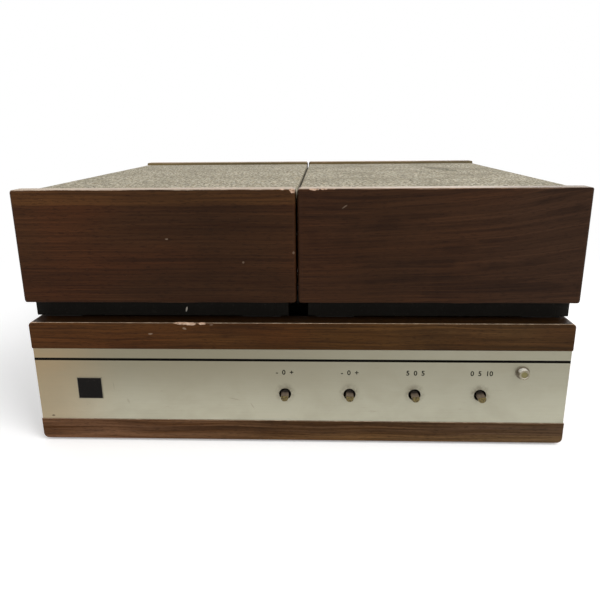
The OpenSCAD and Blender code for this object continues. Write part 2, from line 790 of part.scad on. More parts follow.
// Reel: two flanges with three windows each, on a hub with slots for the drive ribs
module reel(at) color("#b9b7ae", 0.8) translate([at[0], at[1], reel_low]) difference() {
    union() {
        cylinder(d = reel_d, h = flange_t);
        cylinder(d = hub_d, h = 2 * flange_t + reel_space);
        translate([0, 0, flange_t + reel_space]) cylinder(d = reel_d, h = flange_t);
    }
    translate([0, 0, -cut])
        cylinder(d = spindle_d + 2 * reel_bore_gap, h = 2 * flange_t + reel_space + 2 * cut);
    drive_ribs(reel_bore_gap, -cut, 2 * flange_t + reel_space + cut);
    for (i = [0:2], z = [0, flange_t + reel_space]) translate([0, 0, z - cut])
        rotate(90 + i * 120 - window_angle / 2) rotate_extrude(angle = window_angle)
            translate([window_in, 0]) square([window_out - window_in, flange_t + 2 * cut]);
}

module supply_reel() reel(supply_at);
module takeup_reel() reel(takeup_at);

module wound_tape(at) color("#4a2a1a") translate([at[0], at[1], tape_z]) difference() {
    cylinder(d = pack_d, h = tape_w);
    translate([0, 0, -cut]) cylinder(d = hub_d + 2 * snug, h = tape_w + 2 * cut);
}

module supply_tape() wound_tape(supply_at);
module takeup_tape() wound_tape(takeup_at);

// Flywheel with the capstan as its shaft
module flywheel() color(steel) union() {
    rod_z(flywheel_at, flywheel_d, flywheel_z, flywheel_z + flywheel_t);
    rod_z(flywheel_at, capstan_d, bridge_z + slip, z_deck + capstan_up);
}

module motor_pulley() color("#c9a45a") union() {
    rod_z(motor_at, pulley_d, belt_z - 1.5, belt_z + belt_w + 1.5);
    rod_z(motor_at, motor_shaft_d, belt_z - 3, motor_low + motor_shaft_in);
}

// Places a piece drawn with the roller on the capstan in its rest position
module swung_back() {
    translate([pivot_at[0], pivot_at[1], 0]) rotate(roller_swing)
        translate([-pivot_at[0], -pivot_at[1], 0]) children();
}

module pinch_arm() color(steel) swung_back() difference() {
    reach = roller_engaged - pivot_at;
    union() {
        rod_z(pivot_at, pivot_d + 6, z_deck + arm_low, z_deck + hub_up);
        rod_z(roller_engaged, arm_w, z_deck + arm_low, z_deck + arm_low + arm_t);
        translate([pivot_at[0], pivot_at[1], z_deck + arm_low]) rotate(atan2(reach[1], reach[0]))
            translate([0, 1 - arm_w / 2, 0]) cube([norm(reach), arm_w - 2, arm_t]);
        rod_z(roller_engaged, roller_pin_d, z_deck + arm_low, z_deck + roller_low + roller_h + 1);
    }
    rod_z(pivot_at, pivot_d + 2 * run, z_deck, z_deck + hub_up + cut);
}

module pinch_roller() color("#26221f") swung_back() difference() {
    rod_z(roller_engaged, roller_d, z_deck + roller_low, z_deck + roller_low + roller_h);
    rod_z(roller_engaged, roller_pin_d + 2 * run, z_deck, z_deck + roller_low + roller_h + cut);
}

// Knob on a shaft through the deck plate, with a pointer groove
module deck_knob(at, d, h) color(black) translate([at[0], at[1], z_deck]) difference() {
    union() {
        translate([0, 0, knob_up]) cylinder(d = d, h = h - knob_up);
        translate([0, 0, -deck_t - boss_len])
            cylinder(d = knob_shaft_d, h = deck_t + boss_len + knob_up + cut);
    }
    block(-0.8, 0.8, d / 4, d, h - 0.8, h + cut);
}

module record_level_knob() deck_knob(level_at, level_knob_d, level_h);
module speed_knob() deck_knob(speed_at, speed_knob_d, speed_h);

// Walnut boards at the front and rear of a speaker
module speaker_cheeks() color(walnut) for (y = [[y_front, y_cheek], [y_cheek_rear, y_rear]])
    block(x_seam, x_side, y[0], y[1], z_cheek, z_lid);

// Four black boards between the cheeks, on felt pads that stand on the rim
module speaker_skirt() color(black) {
    for (x = [x_skirt, x_skirt_out - skirt_t])
        block(x, x + skirt_t, y_cheek, y_cheek_rear, z_skirt, z_baffle);
    for (y = [y_cheek, y_cheek_rear - skirt_t])
        block(x_skirt + skirt_t + glue, x_skirt_out - skirt_t - glue, y, y + skirt_t, z_skirt, z_baffle);
    for (x = [x_skirt + pad_side, x_skirt_out - pad_side - pad_w],
        y = [y_cheek + pad_back, y_cheek_rear - pad_back - pad_d])
        block(x, x + pad_w, y, y + pad_d, z_top, z_skirt - glue);
}

module speaker_back() color(black)
    block(x_skirt + skirt_t, x_skirt_out - skirt_t, y_cheek + skirt_t, y_cheek_rear - skirt_t,
        z_top + back_up, z_top + back_up + back_t);

// Baffle on top of the skirt boards, with the loudspeaker's seat
module speaker_baffle() color("#6b543c") difference() {
    block(x_seam + cloth_t + cloth_gap, x_side - cloth_t, y_cheek, y_cheek_rear,
        z_baffle, z_baffle + baffle_t);
    rod_z(driver_at, driver_d + 2 * snug, z_baffle + baffle_t - driver_rim_t, z_baffle + baffle_t + cut);
    rod_z(driver_at, driver_d - 12, z_baffle - cut, z_baffle + baffle_t + cut);
}

// Grille cloth over the baffle, turned down over its two long edges
module speaker_cloth() color(cloth_grey) difference() {
    block(x_seam + cloth_gap, x_side, y_cheek + cloth_gap, y_cheek_rear - cloth_gap, z_baffle, z_cloth);
    block(x_seam + cloth_gap + cloth_t, x_side - cloth_t, y_cheek, y_cheek_rear,
        z_baffle - cut, z_cloth - cloth_t);
}

// Loudspeaker: rim and basket with its magnet, and the cone with its dust cap in front of them
module speaker_driver() translate([driver_at[0], driver_at[1], z_baffle + baffle_t]) {
    rim = driver_d / 2;
    seat = rim - driver_lip;
    edge = seat - driver_edge;
    magnet = magnet_d / 2;
    back = -cone_depth - basket_back - magnet_t;
    pole = -cone_depth - 2 * cone_t - cut;
    color("#3a3a3a") rotate_extrude() polygon([[edge, 0], [rim, 0], [rim, -driver_rim_t],
        [seat, -driver_rim_t], [magnet, back + magnet_t], [magnet, back], [0, back], [0, pole],
        [magnet - driver_lip, pole], [edge, -driver_rim_t - 2 * cut]]);
    color(black) rotate_extrude() polygon([[0, -cone_depth + dome_up],
        [dome_d / 3, -cone_depth + dome_up * 2 / 3], [dome_d / 2, -cone_depth], [edge - glue, -cut],
        [edge - glue, -cut - cone_t], [dome_d / 2 + cut, -cone_depth - cone_t], [0, -cone_depth - cone_t]]);
}

front_board();
side_boards();
rear_board();
bottom_panel();
rubber_feet();
front_panel();
control_bracket();
potentiometers();
power_switch();
amplifier_board();
mains_transformer();
connector_panel();
deck_plate();
head_block();
tape_heads();
head_cover();
tape_guides();
capstan_bearing();
drive_motor();
drive_belt();
tape();
level_meter();
meter_window();
tape_counter();
key_frame();
treble_shaft();
bass_shaft();
balance_shaft();
volume_shaft();
power_button();
supply_reel_table();
supply_reel();
supply_tape();
takeup_reel_table();
takeup_reel();
takeup_tape();
flywheel();
motor_pulley();
pinch_arm();
pinch_roller();
record_key();
rewind_key();
stop_key();
play_key();
forward_key();
meter_needle();
record_level_knob();
speed_knob();
on_left() speaker_cheeks();  // left_speaker_cheeks
on_left() speaker_skirt();  // left_speaker_skirt
on_left() speaker_back();  // left_speaker_back
on_left() speaker_baffle();  // left_speaker_baffle
on_left() speaker_cloth();  // left_speaker_cloth
on_left() speaker_driver();  // left_speaker_driver
speaker_cheeks();  // right_speaker_cheeks
speaker_skirt();  // right_speaker_skirt
speaker_back();  // right_speaker_back
speaker_baffle();  // right_speaker_baffle
speaker_cloth();  // right_speaker_cloth
speaker_driver();  // right_speaker_driver
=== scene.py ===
"""Looks of the reel-to-reel tape recorder: finishes, grille cloths, marks and trim on the CAD frame."""

import math
import random
from functools import reduce
from itertools import product

import bmesh
import bpy
from mathutils import Matrix, Vector, noise


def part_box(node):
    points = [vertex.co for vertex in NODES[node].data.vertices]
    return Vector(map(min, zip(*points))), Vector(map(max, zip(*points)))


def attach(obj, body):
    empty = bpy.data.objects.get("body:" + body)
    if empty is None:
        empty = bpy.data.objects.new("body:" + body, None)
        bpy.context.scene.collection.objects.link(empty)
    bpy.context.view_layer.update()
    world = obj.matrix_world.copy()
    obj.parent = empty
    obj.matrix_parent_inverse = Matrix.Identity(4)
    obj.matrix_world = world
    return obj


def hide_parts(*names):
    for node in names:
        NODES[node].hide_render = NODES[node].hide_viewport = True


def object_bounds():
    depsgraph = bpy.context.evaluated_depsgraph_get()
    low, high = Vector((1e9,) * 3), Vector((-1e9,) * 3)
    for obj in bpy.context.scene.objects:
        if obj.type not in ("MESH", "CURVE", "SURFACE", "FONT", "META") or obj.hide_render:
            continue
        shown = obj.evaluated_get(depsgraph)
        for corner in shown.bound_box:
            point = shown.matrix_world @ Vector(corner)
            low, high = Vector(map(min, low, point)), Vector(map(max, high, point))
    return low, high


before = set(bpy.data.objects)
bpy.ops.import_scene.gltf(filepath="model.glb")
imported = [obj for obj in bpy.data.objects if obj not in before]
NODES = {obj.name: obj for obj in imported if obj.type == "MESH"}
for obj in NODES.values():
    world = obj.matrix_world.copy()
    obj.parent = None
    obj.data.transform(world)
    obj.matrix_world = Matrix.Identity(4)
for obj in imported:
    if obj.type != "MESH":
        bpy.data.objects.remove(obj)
cad_low, cad_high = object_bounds()
SCENE = bpy.context.scene
MM = 0.001
WHITE = (1.0, 1.0, 1.0, 1.0)


def at(x, y, z):
    """A point given in millimetres."""
    return Vector((x, y, z)) * MM


def tone(red, green, blue):
    """A colour given in display values from 0 to 255."""
    return tuple((v / 255) ** 2.2 for v in (red, green, blue)) + (1.0,)


def grey(value):
    return tone(value, value, value)


# Node trees

MIX_SOCKETS = {"RGBA": (6, 7, 2), "VECTOR": (4, 5, 1)}
MARK_DEPTH = 20
BEND_REACH = 95.0
BEND_LEAST = 0.2


class Nodes:
    """A node tree that is built up in short steps. Sizes in it are in metres."""

    def __init__(self, tree):
        self.tree = tree

    def put(self, socket, value):
        if isinstance(value, bpy.types.NodeSocket):
            self.tree.links.new(value, socket)
        else:
            socket.default_value = value

    def add(self, kind, *values, **given):
        """A node. Values fill its inputs in turn, names in capitals are inputs, other names settings."""
        node = self.tree.nodes.new("ShaderNode" + kind)
        for key in [k for k in given if k[0].islower()]:
            setattr(node, key, given.pop(key))
        for key, value in given.items():
            self.put(node.inputs[key.replace("_", " ")], value)
        for socket, value in zip(node.inputs, values):
            self.put(socket, value)
        return node

    def math(self, operation, a, b=0.0):
        return self.add("Math", a, b, operation=operation).outputs[0]

    def times(self, a, b):
        return self.math("MULTIPLY", a, b)

    def plus(self, a, b):
        return self.math("ADD", a, b)

    def minus(self, a, b):
        return self.math("SUBTRACT", a, b)

    def sum(self, a, weight_a, b, weight_b):
        return self.plus(self.times(a, weight_a), self.times(b, weight_b))

    def fade(self, value, low, high, start=0.0, end=1.0):
        """Runs smoothly from start to end as value goes from low to high."""
        return self.add("MapRange", interpolation_type="SMOOTHSTEP", Value=value, From_Min=low,
                        From_Max=high, To_Min=start, To_Max=end).outputs[0]

    def seen(self):
        """1 for what the camera sees straight, in a mirror or through glass."""
        rays = self.add("LightPath").outputs
        shown = self.math("MAXIMUM", rays["Is Camera Ray"], rays["Is Glossy Ray"])
        return self.math("MAXIMUM", shown, rays["Is Transmission Ray"])


class Finish(Nodes):
    """One material with a Principled shader. Its colour is laid on in layers."""

    def __init__(self, name, colour=None, **sockets):
        self.colour = colour
        self.material = bpy.data.materials.new(name)
        self.material.use_nodes = True
        super().__init__(self.material.node_tree)
        self.shader = self.tree.nodes["Principled BSDF"]
        self.place = self.add("TexCoord").outputs["Object"]
        self.set(**sockets)

    def set(self, **sockets):
        for key, value in sockets.items():
            self.put(self.shader.inputs[key.replace("_", " ").title().replace("Ior", "IOR")], value)

    def lay(self, paint, *shares):
        """Lays a colour over the colour so far, as strongly as the shares say together."""
        self.colour = self.mix(reduce(self.times, shares), self.colour, paint)

    def tint(self, factor):
        self.colour = self.mix(1.0, self.colour, factor, "MULTIPLY")

    def done(self, rough, height, strength, depth):
        """Sets the colour, the roughness and the relief, and returns the material."""
        relief = self.add("Bump", Strength=strength, Distance=depth, Height=height).outputs[0]
        self.set(base_color=self.colour, roughness=rough, normal=relief)
        return self.material

    def mix(self, share, a, b, blend="MIX", kind="RGBA"):
        first, second, result = MIX_SOCKETS[kind]
        node = self.add("Mix", data_type=kind, blend_type=blend)
        for index, value in ((0, share), (first, a), (second, b)):
            self.put(node.inputs[index], value)
        return node.outputs[result]

    def darker(self, colour, level):
        """A colour times a grey of the given display value."""
        return self.mix(1.0, colour, grey(level), "MULTIPLY")

    def ramp(self, value, *stops):
        node = self.add("ValToRGB", Fac=value)
        elements = node.color_ramp.elements
        while len(elements) < len(stops):
            elements.new(1.0)
        for element, (position, colour) in zip(elements, stops):
            element.position = position
            element.color = colour
        return node.outputs[0]

    def axes(self, vector=None):
        return self.add("SeparateXYZ", Vector=vector or self.place).outputs

    def facing(self):
        """The three parts of the surface's direction."""
        return self.axes(self.add("NewGeometry").outputs["True Normal"])

    def stretched(self, scale, shift=(0, 0, 0), vector=None):
        return self.add("Mapping", Vector=vector or self.place, Scale=scale, Location=shift).outputs[0]

    def noise(self, vector, size, detail=2.0, rough=0.5, warp=0.0):
        """Noise whose patches are about as wide as size."""
        return self.add("TexNoise", Vector=vector, Scale=1 / size, Detail=detail, Roughness=rough,
                        Distortion=warp).outputs[0]

    def length(self, vector):
        return self.add("VectorMath", vector, operation="LENGTH").outputs["Value"]

    def apart(self, point, squeeze):
        """Distance from a point, with each axis weighted."""
        return self.length(self.stretched(squeeze, tuple(-p * s for p, s in zip(point, squeeze))))

    def swayed(self, reach, size, bend):
        """Places moved up and down in waves about as long as size, and sinking along x on a bend.

        The bend is full at the object's top and less further down."""
        x, _, z = self.axes()
        wave = self.minus(self.noise(self.place, size, 1.0), 0.5)
        share = self.fade(z, cad_high.z - BEND_REACH * MM, cad_high.z, BEND_LEAST)
        sink = self.times(self.math("POWER", x, 2.0), share)
        push = self.add("CombineXYZ", Z=self.sum(wave, 2 * reach, sink, -bend)).outputs[0]
        return self.add("VectorMath", self.place, push, operation="ADD").outputs[0]

    def mark(self, point, long, thin, turn=0.0, level=False):
        """1 inside a ragged ellipse of two half sizes in millimetres, upright or lying level."""
        turn = math.radians(turn)
        inside = self.add("Mapping", vector_type="TEXTURE", Vector=self.place, Location=at(*point),
                          Rotation=(0, 0, turn) if level else (0, turn, 0),
                          Scale=at(long, thin, MARK_DEPTH) if level else at(long, MARK_DEPTH, thin))
        ragged = self.times(self.noise(self.place, 0.0008, 3.0, 0.7), 1.2)
        return self.fade(self.plus(self.length(inside.outputs[0]), ragged), 1.6, 1.2)

    def edge(self, radius):
        """1 on a sharp edge, 0 away from it."""
        rounded = self.add("Bevel", samples=6, Radius=radius).outputs[0]
        plain = self.add("NewGeometry").outputs["Normal"]
        alike = self.add("VectorMath", rounded, plain, operation="DOT_PRODUCT").outputs["Value"]
        return self.fade(alike, 0.985, 0.8)


# Materials

WOOD_GLOSS = 0.08
SWAY_LENGTH = 0.09
# Painted shade for what lies inside the control holes
HOLE_SHADE = tone(20, 17, 13)
LINE_SCALES = {"x": (0.004, 1, 1), "y": (1, 0.004, 1), "z": (1, 1, 0.004), "none": (1, 1, 1)}
CHROME_ROUGH = 0.18
WEAVE_PITCH = 0.0012


def walnut(name, along, shift, tones, top, rim, veins, sway, bend=0.0, scuffs=(), bands=(), inner=None,
           drift=(), dim=None):
    """Oiled walnut veneer with fine straight grain, worn at the edges and at some spots.

    along: the board's own direction
    tones: dark, middle and pale grain, and the colour of the reddish patches
    top, rim: colours of the upper faces and of the round edge in front of them. The top colour is painted
    light: painted shade on the base, where the speakers overhang it, and on the cheeks pale bare wood with a
    painted reflection
    veins, sway, bend: strength of the dark lines, how far they wander in millimetres, how much they sink
    scuffs: rubbed spots, each a share and a mark
    bands: paler strips, each two heights, a colour and the shares at the left and at the right
    inner: colour of faces at the rear that look forward, which have no veneer
    drift: factors on the colour at shares of the object's width
    dim: two places along x between which the top and the rim get darker, which dims the top's painted
    reflection there"""
    f = Finish(name, specular_ior_level=WOOD_GLOSS)
    deep, mid, pale, blush = tones
    across, forward, upward = f.facing()
    x, y, _ = f.axes()
    lie = f.swayed(sway * MM, SWAY_LENGTH, bend)
    lie_x, lie_y, lie_z = f.axes(lie)
    run = f.add("CombineXYZ", lie_y, lie_x, lie_z).outputs[0]
    if along == "x":
        run = f.mix(f.fade(f.math("ABSOLUTE", across), 0.6, 0.8), lie, run, kind="VECTOR")

    def grain(stretch, size, *look):
        return f.noise(f.stretched((stretch, 1, 1), shift, run), size, *look)

    broad = grain(0.05, 0.020, 2.0, 0.5, 0.4)
    streak = grain(0.018, 0.0014, 2.5, 0.55, 0.1)
    fine = grain(0.012, 0.0010, 3.0, 0.6)
    pore = f.fade(grain(0.14, 0.0007, 1.0), 0.56, 0.68)
    figure = f.sum(broad, 0.40, streak, 0.60)
    light = f.fade(figure, 0.30, 0.60)
    f.colour = f.ramp(figure, (0.34, deep), (0.50, mid), (0.66, pale))
    flush = f.noise(f.stretched((0.5, 0.5, 1), shift), 0.055, 1.0)
    f.lay(f.mix(f.fade(figure, 0.36, 0.64), deep, blush), f.fade(flush, 0.46, 0.66, 0.0, 0.6))
    for start, full, sap, left, right in bands:
        band = f.fade(lie_z, start * MM, full * MM, 0.0, 0.85)
        f.lay(f.mix(light, mid, sap), band, f.fade(x, 0.8 * cad_low.x, cad_high.x, left, right))
        line = f.math("ABSOLUTE", f.minus(lie_z, (2.4 * start - 1.4 * full) * MM))
        f.lay(deep, f.fade(line, 0.0022, 0.0008, 0.0, 0.35))
    gap = f.math("ABSOLUTE", f.minus(grain(0.03, 0.007, 1.0, 0.5, 0.2), 0.5))
    patch = f.fade(f.noise(f.place, 0.03, 2.0), 0.4, 0.6, 0.3, 1.0)
    f.lay(tone(26, 15, 9), f.fade(gap, 0.08, 0.016), patch, veins)
    f.tint(f.ramp(fine, (0.25, grey(200)), (0.75, grey(255))))
    f.lay(tone(22, 13, 8), pore, 0.35)
    if inner:
        bare = f.mix(light, inner, f.mix(0.25, inner, deep))
        f.lay(bare, f.fade(forward, -0.8, -0.95), f.fade(y, 0.05, 0.1))
    if drift:
        f.tint(f.ramp(f.fade(x, cad_low.x, cad_high.x), *drift))
    if dim:
        share = f.fade(x, dim[0] * MM, dim[1] * MM, 0.0, 0.55)
        top = f.mix(share, top, mid)
        rim = f.mix(share, rim, mid)
    flake = f.noise(f.stretched((0.5, 1, 1), shift), 0.0016, 4.0, 0.7)
    # Upper faces take the top colour: painted shade on the base, pale bare wood with a painted reflection on
    # the cheeks
    top_with_painted_light = f.mix(f.fade(flake, 0.62, 0.36, 0.0, 0.25), top, mid)
    f.lay(top_with_painted_light, f.fade(upward, 0.93, 0.99, 0.0, 0.9))
    worn = f.fade(f.noise(f.place, 0.006, 4.0, 0.7), 0.46, 0.62)
    round_edge = f.times(f.fade(upward, 0.25, 0.55), f.fade(upward, 0.985, 0.93))
    f.lay(rim, round_edge, f.fade(worn, 0.0, 1.0, 0.55, 0.95))
    f.lay(tone(156, 128, 102), f.edge(0.0009), f.fade(worn, 0.0, 1.0, 0.25, 0.8))
    speck = f.noise(f.stretched((0.5, 1, 1), shift), 0.0009, 2.0, 0.7)
    f.lay(tone(178, 152, 124), f.fade(speck, 0.78, 0.81), 0.36)
    for share, mark in scuffs:
        f.lay(tone(178, 156, 134), f.mark(*mark), share)
    rough = f.plus(f.sum(fine, 0.16, broad, 0.10), 0.36)
    return f.done(rough, f.minus(f.times(fine, 0.5), pore), 0.30, 0.00012)


def chipped_core(name):
    """Bare chipboard under the veneer."""
    f = Finish(name)
    flake = f.noise(f.stretched((0.4, 1, 1)), 0.0012, 4.0, 0.7)
    f.colour = f.ramp(flake, (0.35, tone(132, 102, 80)), (0.55, tone(198, 168, 144)),
                      (0.72, tone(224, 202, 180)))
    return f.done(0.9, flake, 0.8, 0.0004)


def metal(name, colour, rough, along, lines, smudge, bump, dirt=0.0):
    """Metal with fine lines along one axis (or no direction), finger smudges and dirt."""
    f = Finish(name, colour, metallic=1.0)
    line = f.noise(f.stretched(LINE_SCALES[along]), 0.0004, 3.0, 0.6)
    tint = f.sum(line, lines, f.noise(f.place, 0.018, 4.0, 0.6), smudge)
    f.lay(f.darker(colour, 190), tint)
    f.lay(tone(52, 44, 34), f.fade(f.noise(f.place, 0.003, 5.0, 0.7), 0.55, 0.75), dirt)
    return f.done(f.plus(f.times(tint, 0.6), rough), line, bump, 0.00006)


def tarnished(name, bright, dull):
    """Chrome with a painted highlight where it faces up, as if lit from above, and painted shade elsewhere,
    both broken up by fine clouds.
    """
    f = Finish(name, dull, metallic=0.35)
    cloud = f.noise(f.place, 0.0012, 4.0, 0.65)
    # Painted highlight: faces turned up get the bright colour, the others the shaded one
    clean = f.plus(f.facing()[2], f.times(f.minus(cloud, 0.5), 0.5))
    f.lay(bright, f.fade(clean, 0.25, 0.6))
    return f.done(f.plus(f.times(cloud, 0.2), CHROME_ROUGH), cloud, 0.05, 0.00005)


def shaft_metal(name, end, panel):
    """Dull turned shaft: brown-grey round its side, with dark olive tarnish on its end face.

    End and panel are the places of its end and of the panel's face along y. Near the panel's face the shaft
    gets painted shade."""
    f = Finish(name, tone(100, 87, 75), metallic=0.35)
    y = f.axes()[1]
    line = f.noise(f.stretched((1, 0.05, 1)), 0.0006, 3.0, 0.6)
    cloud = f.noise(f.place, 0.0013, 4.0, 0.65)
    f.lay(tone(136, 121, 105), line)
    olive = f.mix(f.fade(cloud, 0.38, 0.60), tone(56, 46, 24), tone(118, 103, 58))
    f.lay(olive, f.fade(y, end + 0.5 * MM, end + 0.1 * MM))
    f.lay(tone(58, 48, 36), f.fade(cloud, 0.52, 0.72, 0.0, 0.5))
    # Painted shade where the shaft goes into the panel's hole
    f.lay(HOLE_SHADE, f.fade(y, panel - 3.0 * MM, panel + 2.5 * MM, 0.0, 0.95))
    return f.done(0.5, f.plus(line, cloud), 0.15, 0.00008)


def moulded(name, colour, rough, grain, relief, dust, worn=None, gloss=0.4, flecks=()):
    """Plastic, rubber or paint: fine grain, uneven tone, dust, and worn edges where a colour is given.

    Flecks are places where the paint is gone."""
    f = Finish(name, colour, specular_ior_level=gloss)
    cloud = f.noise(f.place, 0.02, 4.0, 0.6)
    fine = f.noise(f.place, grain, 3.0, 0.6)
    f.lay(f.darker(colour, 205), f.fade(cloud, 0.3, 0.7, 0.0, 0.35))
    f.lay(tone(150, 142, 128), f.fade(f.noise(f.place, 0.0022, 5.0, 0.75), 0.56, 0.74), dust)
    if worn:
        f.lay(worn, f.edge(0.0008), f.fade(cloud, 0.35, 0.6, 0.2, 0.8))
    for fleck in flecks:
        f.lay(tone(206, 198, 184), f.mark(*fleck))
    return f.done(f.plus(f.times(cloud, 0.14), rough - 0.07), fine, relief, 0.00015)


def fibre_board(name, colour):
    """Pressed board with loose fibres in it."""
    f = Finish(name)
    fibre = f.noise(f.stretched((1, 0.25, 1)), 0.0016, 5.0, 0.7)
    f.colour = f.mix(fibre, f.darker(colour, 165), colour)
    f.lay(f.darker(f.colour, 190), f.fade(f.noise(f.place, 0.03, 3.0), 0.35, 0.7, 0.0, 0.4))
    return f.done(0.82, fibre, 0.35, 0.0003)


def panel_metal(name, low, high, holes, marks):
    """Satin anodised panel: darker to its upper edge as a painted reflection of the bright floor, with dirt
    round the holes, painted shade inside them and some scuffs.
    """
    f = Finish(name, tone(180, 176, 157), metallic=0.9)
    x, _, z = f.axes()
    line = f.noise(f.stretched((0.006, 1, 1)), 0.0005, 3.0, 0.6)
    cloud = f.noise(f.stretched((0.7, 1, 1)), 0.030, 4.0, 0.6, 0.3)
    # Painted reflection: darker toward the upper edge and paler toward the lower one, as if mirroring the
    # bright floor
    f.lay(tone(132, 126, 107), f.fade(z, low.z - 0.004, high.z - 0.004))
    f.lay(tone(164, 163, 147), f.fade(x, 0.5 * low.x, 0.7 * high.x, 0.0, 0.42))
    f.lay(tone(160, 136, 102), f.fade(x, low.x + 0.075, low.x, 0.0, 0.65))
    f.lay(tone(140, 134, 114), f.fade(cloud, 0.40, 0.66, 0.0, 0.22))
    finger = f.fade(f.noise(f.place, 0.003, 4.0, 0.7), 0.35, 0.65)
    for hole in holes:
        ring = f.apart(hole + at(0, 0, 1.0), (1, 0, 1))
        f.lay(tone(112, 104, 88), f.fade(ring, 0.0095, 0.0048, 0.0, 0.55), finger)
    smear = f.noise(f.stretched((0.35, 1, 1.6), (0.3, 0, 0.1)), 0.0042, 5.0, 0.75)
    f.lay(tone(112, 106, 90), f.fade(smear, 0.60, 0.74), 0.22)
    f.lay(tone(70, 62, 50), f.fade(f.noise(f.place, 0.0011, 2.0, 0.6), 0.76, 0.80), 0.45)
    for share, mark in marks:
        f.lay(tone(72, 62, 48), f.mark(*mark), share)
    f.lay(tone(120, 116, 102), line, 0.14)
    # Painted shade on the walls of the control holes
    wall = f.fade(f.math("ABSOLUTE", f.facing()[1]), 0.7, 0.4)
    for hole in holes:
        f.lay(HOLE_SHADE, wall, f.fade(f.apart(hole, (1, 0, 1)), 0.0075, 0.0065))
    return f.done(f.plus(f.sum(cloud, 0.12, line, 0.1), 0.36), line, 0.06, 0.00005)


def tweed(name, shift, dark, soil_share, crease_patches=()):
    """Grey-beige grille cloth: a plain weave of uneven yarns, so each thread has its own tone.

    Where the cloth turns down at its sides, height takes the place of x."""
    f = Finish(name, sheen_weight=0.08, sheen_roughness=0.5, specular_ior_level=0.1)
    x, y, z = f.axes(f.stretched((1, 1, 1), shift))
    across = f.plus(x, z)
    place = f.add("CombineXYZ", across, y).outputs[0]
    threads = []
    for step, run in (((9.0, WEAVE_PITCH, 9.0), (0.2, 0.0, 0.0)),
                      ((WEAVE_PITCH, 9.0, 9.0), (0.0, 0.2, 0.0))):
        row = f.add("VectorMath", place, step, operation="SNAP").outputs[0]
        along = f.add("VectorMath", place, run, row, operation="MULTIPLY_ADD").outputs[0]
        threads.append(f.noise(along, 0.0009, 2.0, 0.6))
    over = f.times(*[f.math("SINE", f.times(way, math.pi / WEAVE_PITCH)) for way in (across, y)])
    yarn = f.mix(f.fade(over, -0.7, 0.1), *threads)
    slub = f.noise(f.stretched((0.8, 0.5, 1), vector=place), 0.0020, 2.0, 0.6, 0.6)
    f.colour = f.ramp(f.sum(yarn, 0.42, slub, 0.58), (0.38, dark), (0.48, tone(147, 138, 117)),
                      (0.58, tone(212, 204, 182)))
    dyed = f.noise(f.stretched((0.6, 0.4, 1), (shift[1], shift[0], 0), place), 0.0035, 2.0, 0.6)
    f.lay(tone(146, 150, 146), f.fade(dyed, 0.56, 0.68, 0.0, 0.30))
    f.lay(tone(182, 158, 116), f.fade(dyed, 0.44, 0.32, 0.0, 0.30))
    f.lay(tone(120, 113, 92), f.fade(f.noise(place, 0.045, 3.0, 0.6), 0.40, 0.66, 0.0, soil_share))
    # Darker patches laid along the creases
    for share, crease_patch in crease_patches:
        f.lay(tone(96, 92, 72), f.mark(*crease_patch, level=True), share)
    return f.done(0.92, f.plus(f.math("ABSOLUTE", over), f.times(yarn, 0.8)), 0.6, 0.0003)


def wound(name, centre):
    """Magnetic tape: glossy brown, with the edges of its turns as rings round the hub."""
    f = Finish(name)
    reach = f.add("CombineXYZ", f.apart(centre, (1, 1, 0))).outputs[0]
    ring = f.noise(reach, 0.0007, 4.0, 0.75)
    band = f.noise(reach, 0.007, 2.0, 0.5)
    f.colour = f.ramp(f.sum(ring, 0.6, band, 0.4), (0.3, tone(42, 24, 16)), (0.5, tone(74, 44, 30)),
                      (0.7, tone(104, 66, 46)))
    return f.done(f.plus(f.times(ring, 0.25), 0.22), ring, 0.25, 0.0002)


def clear(name, colour, rough):
    """Clear or smoky plastic with fine scratches."""
    f = Finish(name, colour, transmission_weight=0.85, ior=1.49)
    scratch = f.noise(f.place, 0.0008, 3.0, 0.7)
    f.lay(f.darker(colour, 215), f.noise(f.place, 0.02, 3.0), 0.3)
    return f.done(f.plus(f.times(scratch, 0.14), rough), scratch, 0.03, 0.00005)


def stacked(name, colour, gap, pitch):
    """Thin sheets or wires laid side by side along y, with a gap colour between them."""
    f = Finish(name, gap, metallic=0.5)
    wave = f.math("SINE", f.times(f.axes()[1], 2 * math.pi / (pitch * MM)))
    f.lay(colour, f.fade(wave, -0.9, -0.2))
    f.lay(gap, f.fade(f.noise(f.place, 0.006, 4.0, 0.7), 0.5, 0.75, 0.0, 0.4))
    return f.done(0.55, wave, 0.4, 0.0002)


# Mesh building

FACE_FRONT = Matrix.Rotation(math.radians(90), 4, "X")
FACE_REAR = Matrix.Rotation(math.radians(180), 4, "Z") @ FACE_FRONT
FACE_DOWN = Matrix.Rotation(math.radians(180), 4, "X")
FACE_UP = Matrix.Identity(4)
SHARP_ANGLE = math.radians(40)
FLAT_ANGLE = math.radians(38)
SAME_POINT = 1e-6
INK_DEPTH = 0.03
INK_SPREAD = 0.03
CAP_SHARE = 0.70
END_EASE = 2.2
END_STEPS = (0.0, 0.15, 0.5, 1.0)
BOARD_STEP = 6.0


def placed(point, facing=FACE_UP):
    return Matrix.Translation(point) @ facing


def inset(low, high, edge):
    """Two places between two others, each moved in by an edge in millimetres."""
    return low + edge * MM, high - edge * MM


def bar(wide, long):
    """The outline of a rectangle of two half sizes."""
    return ((-wide, -long), (wide, -long), (wide, long), (-wide, long))


def eased(bm, edges, ease, segments=2):
    bmesh.ops.bevel(bm, geom=list(edges), offset=ease * MM, segments=segments, profile=0.5, affect="EDGES")


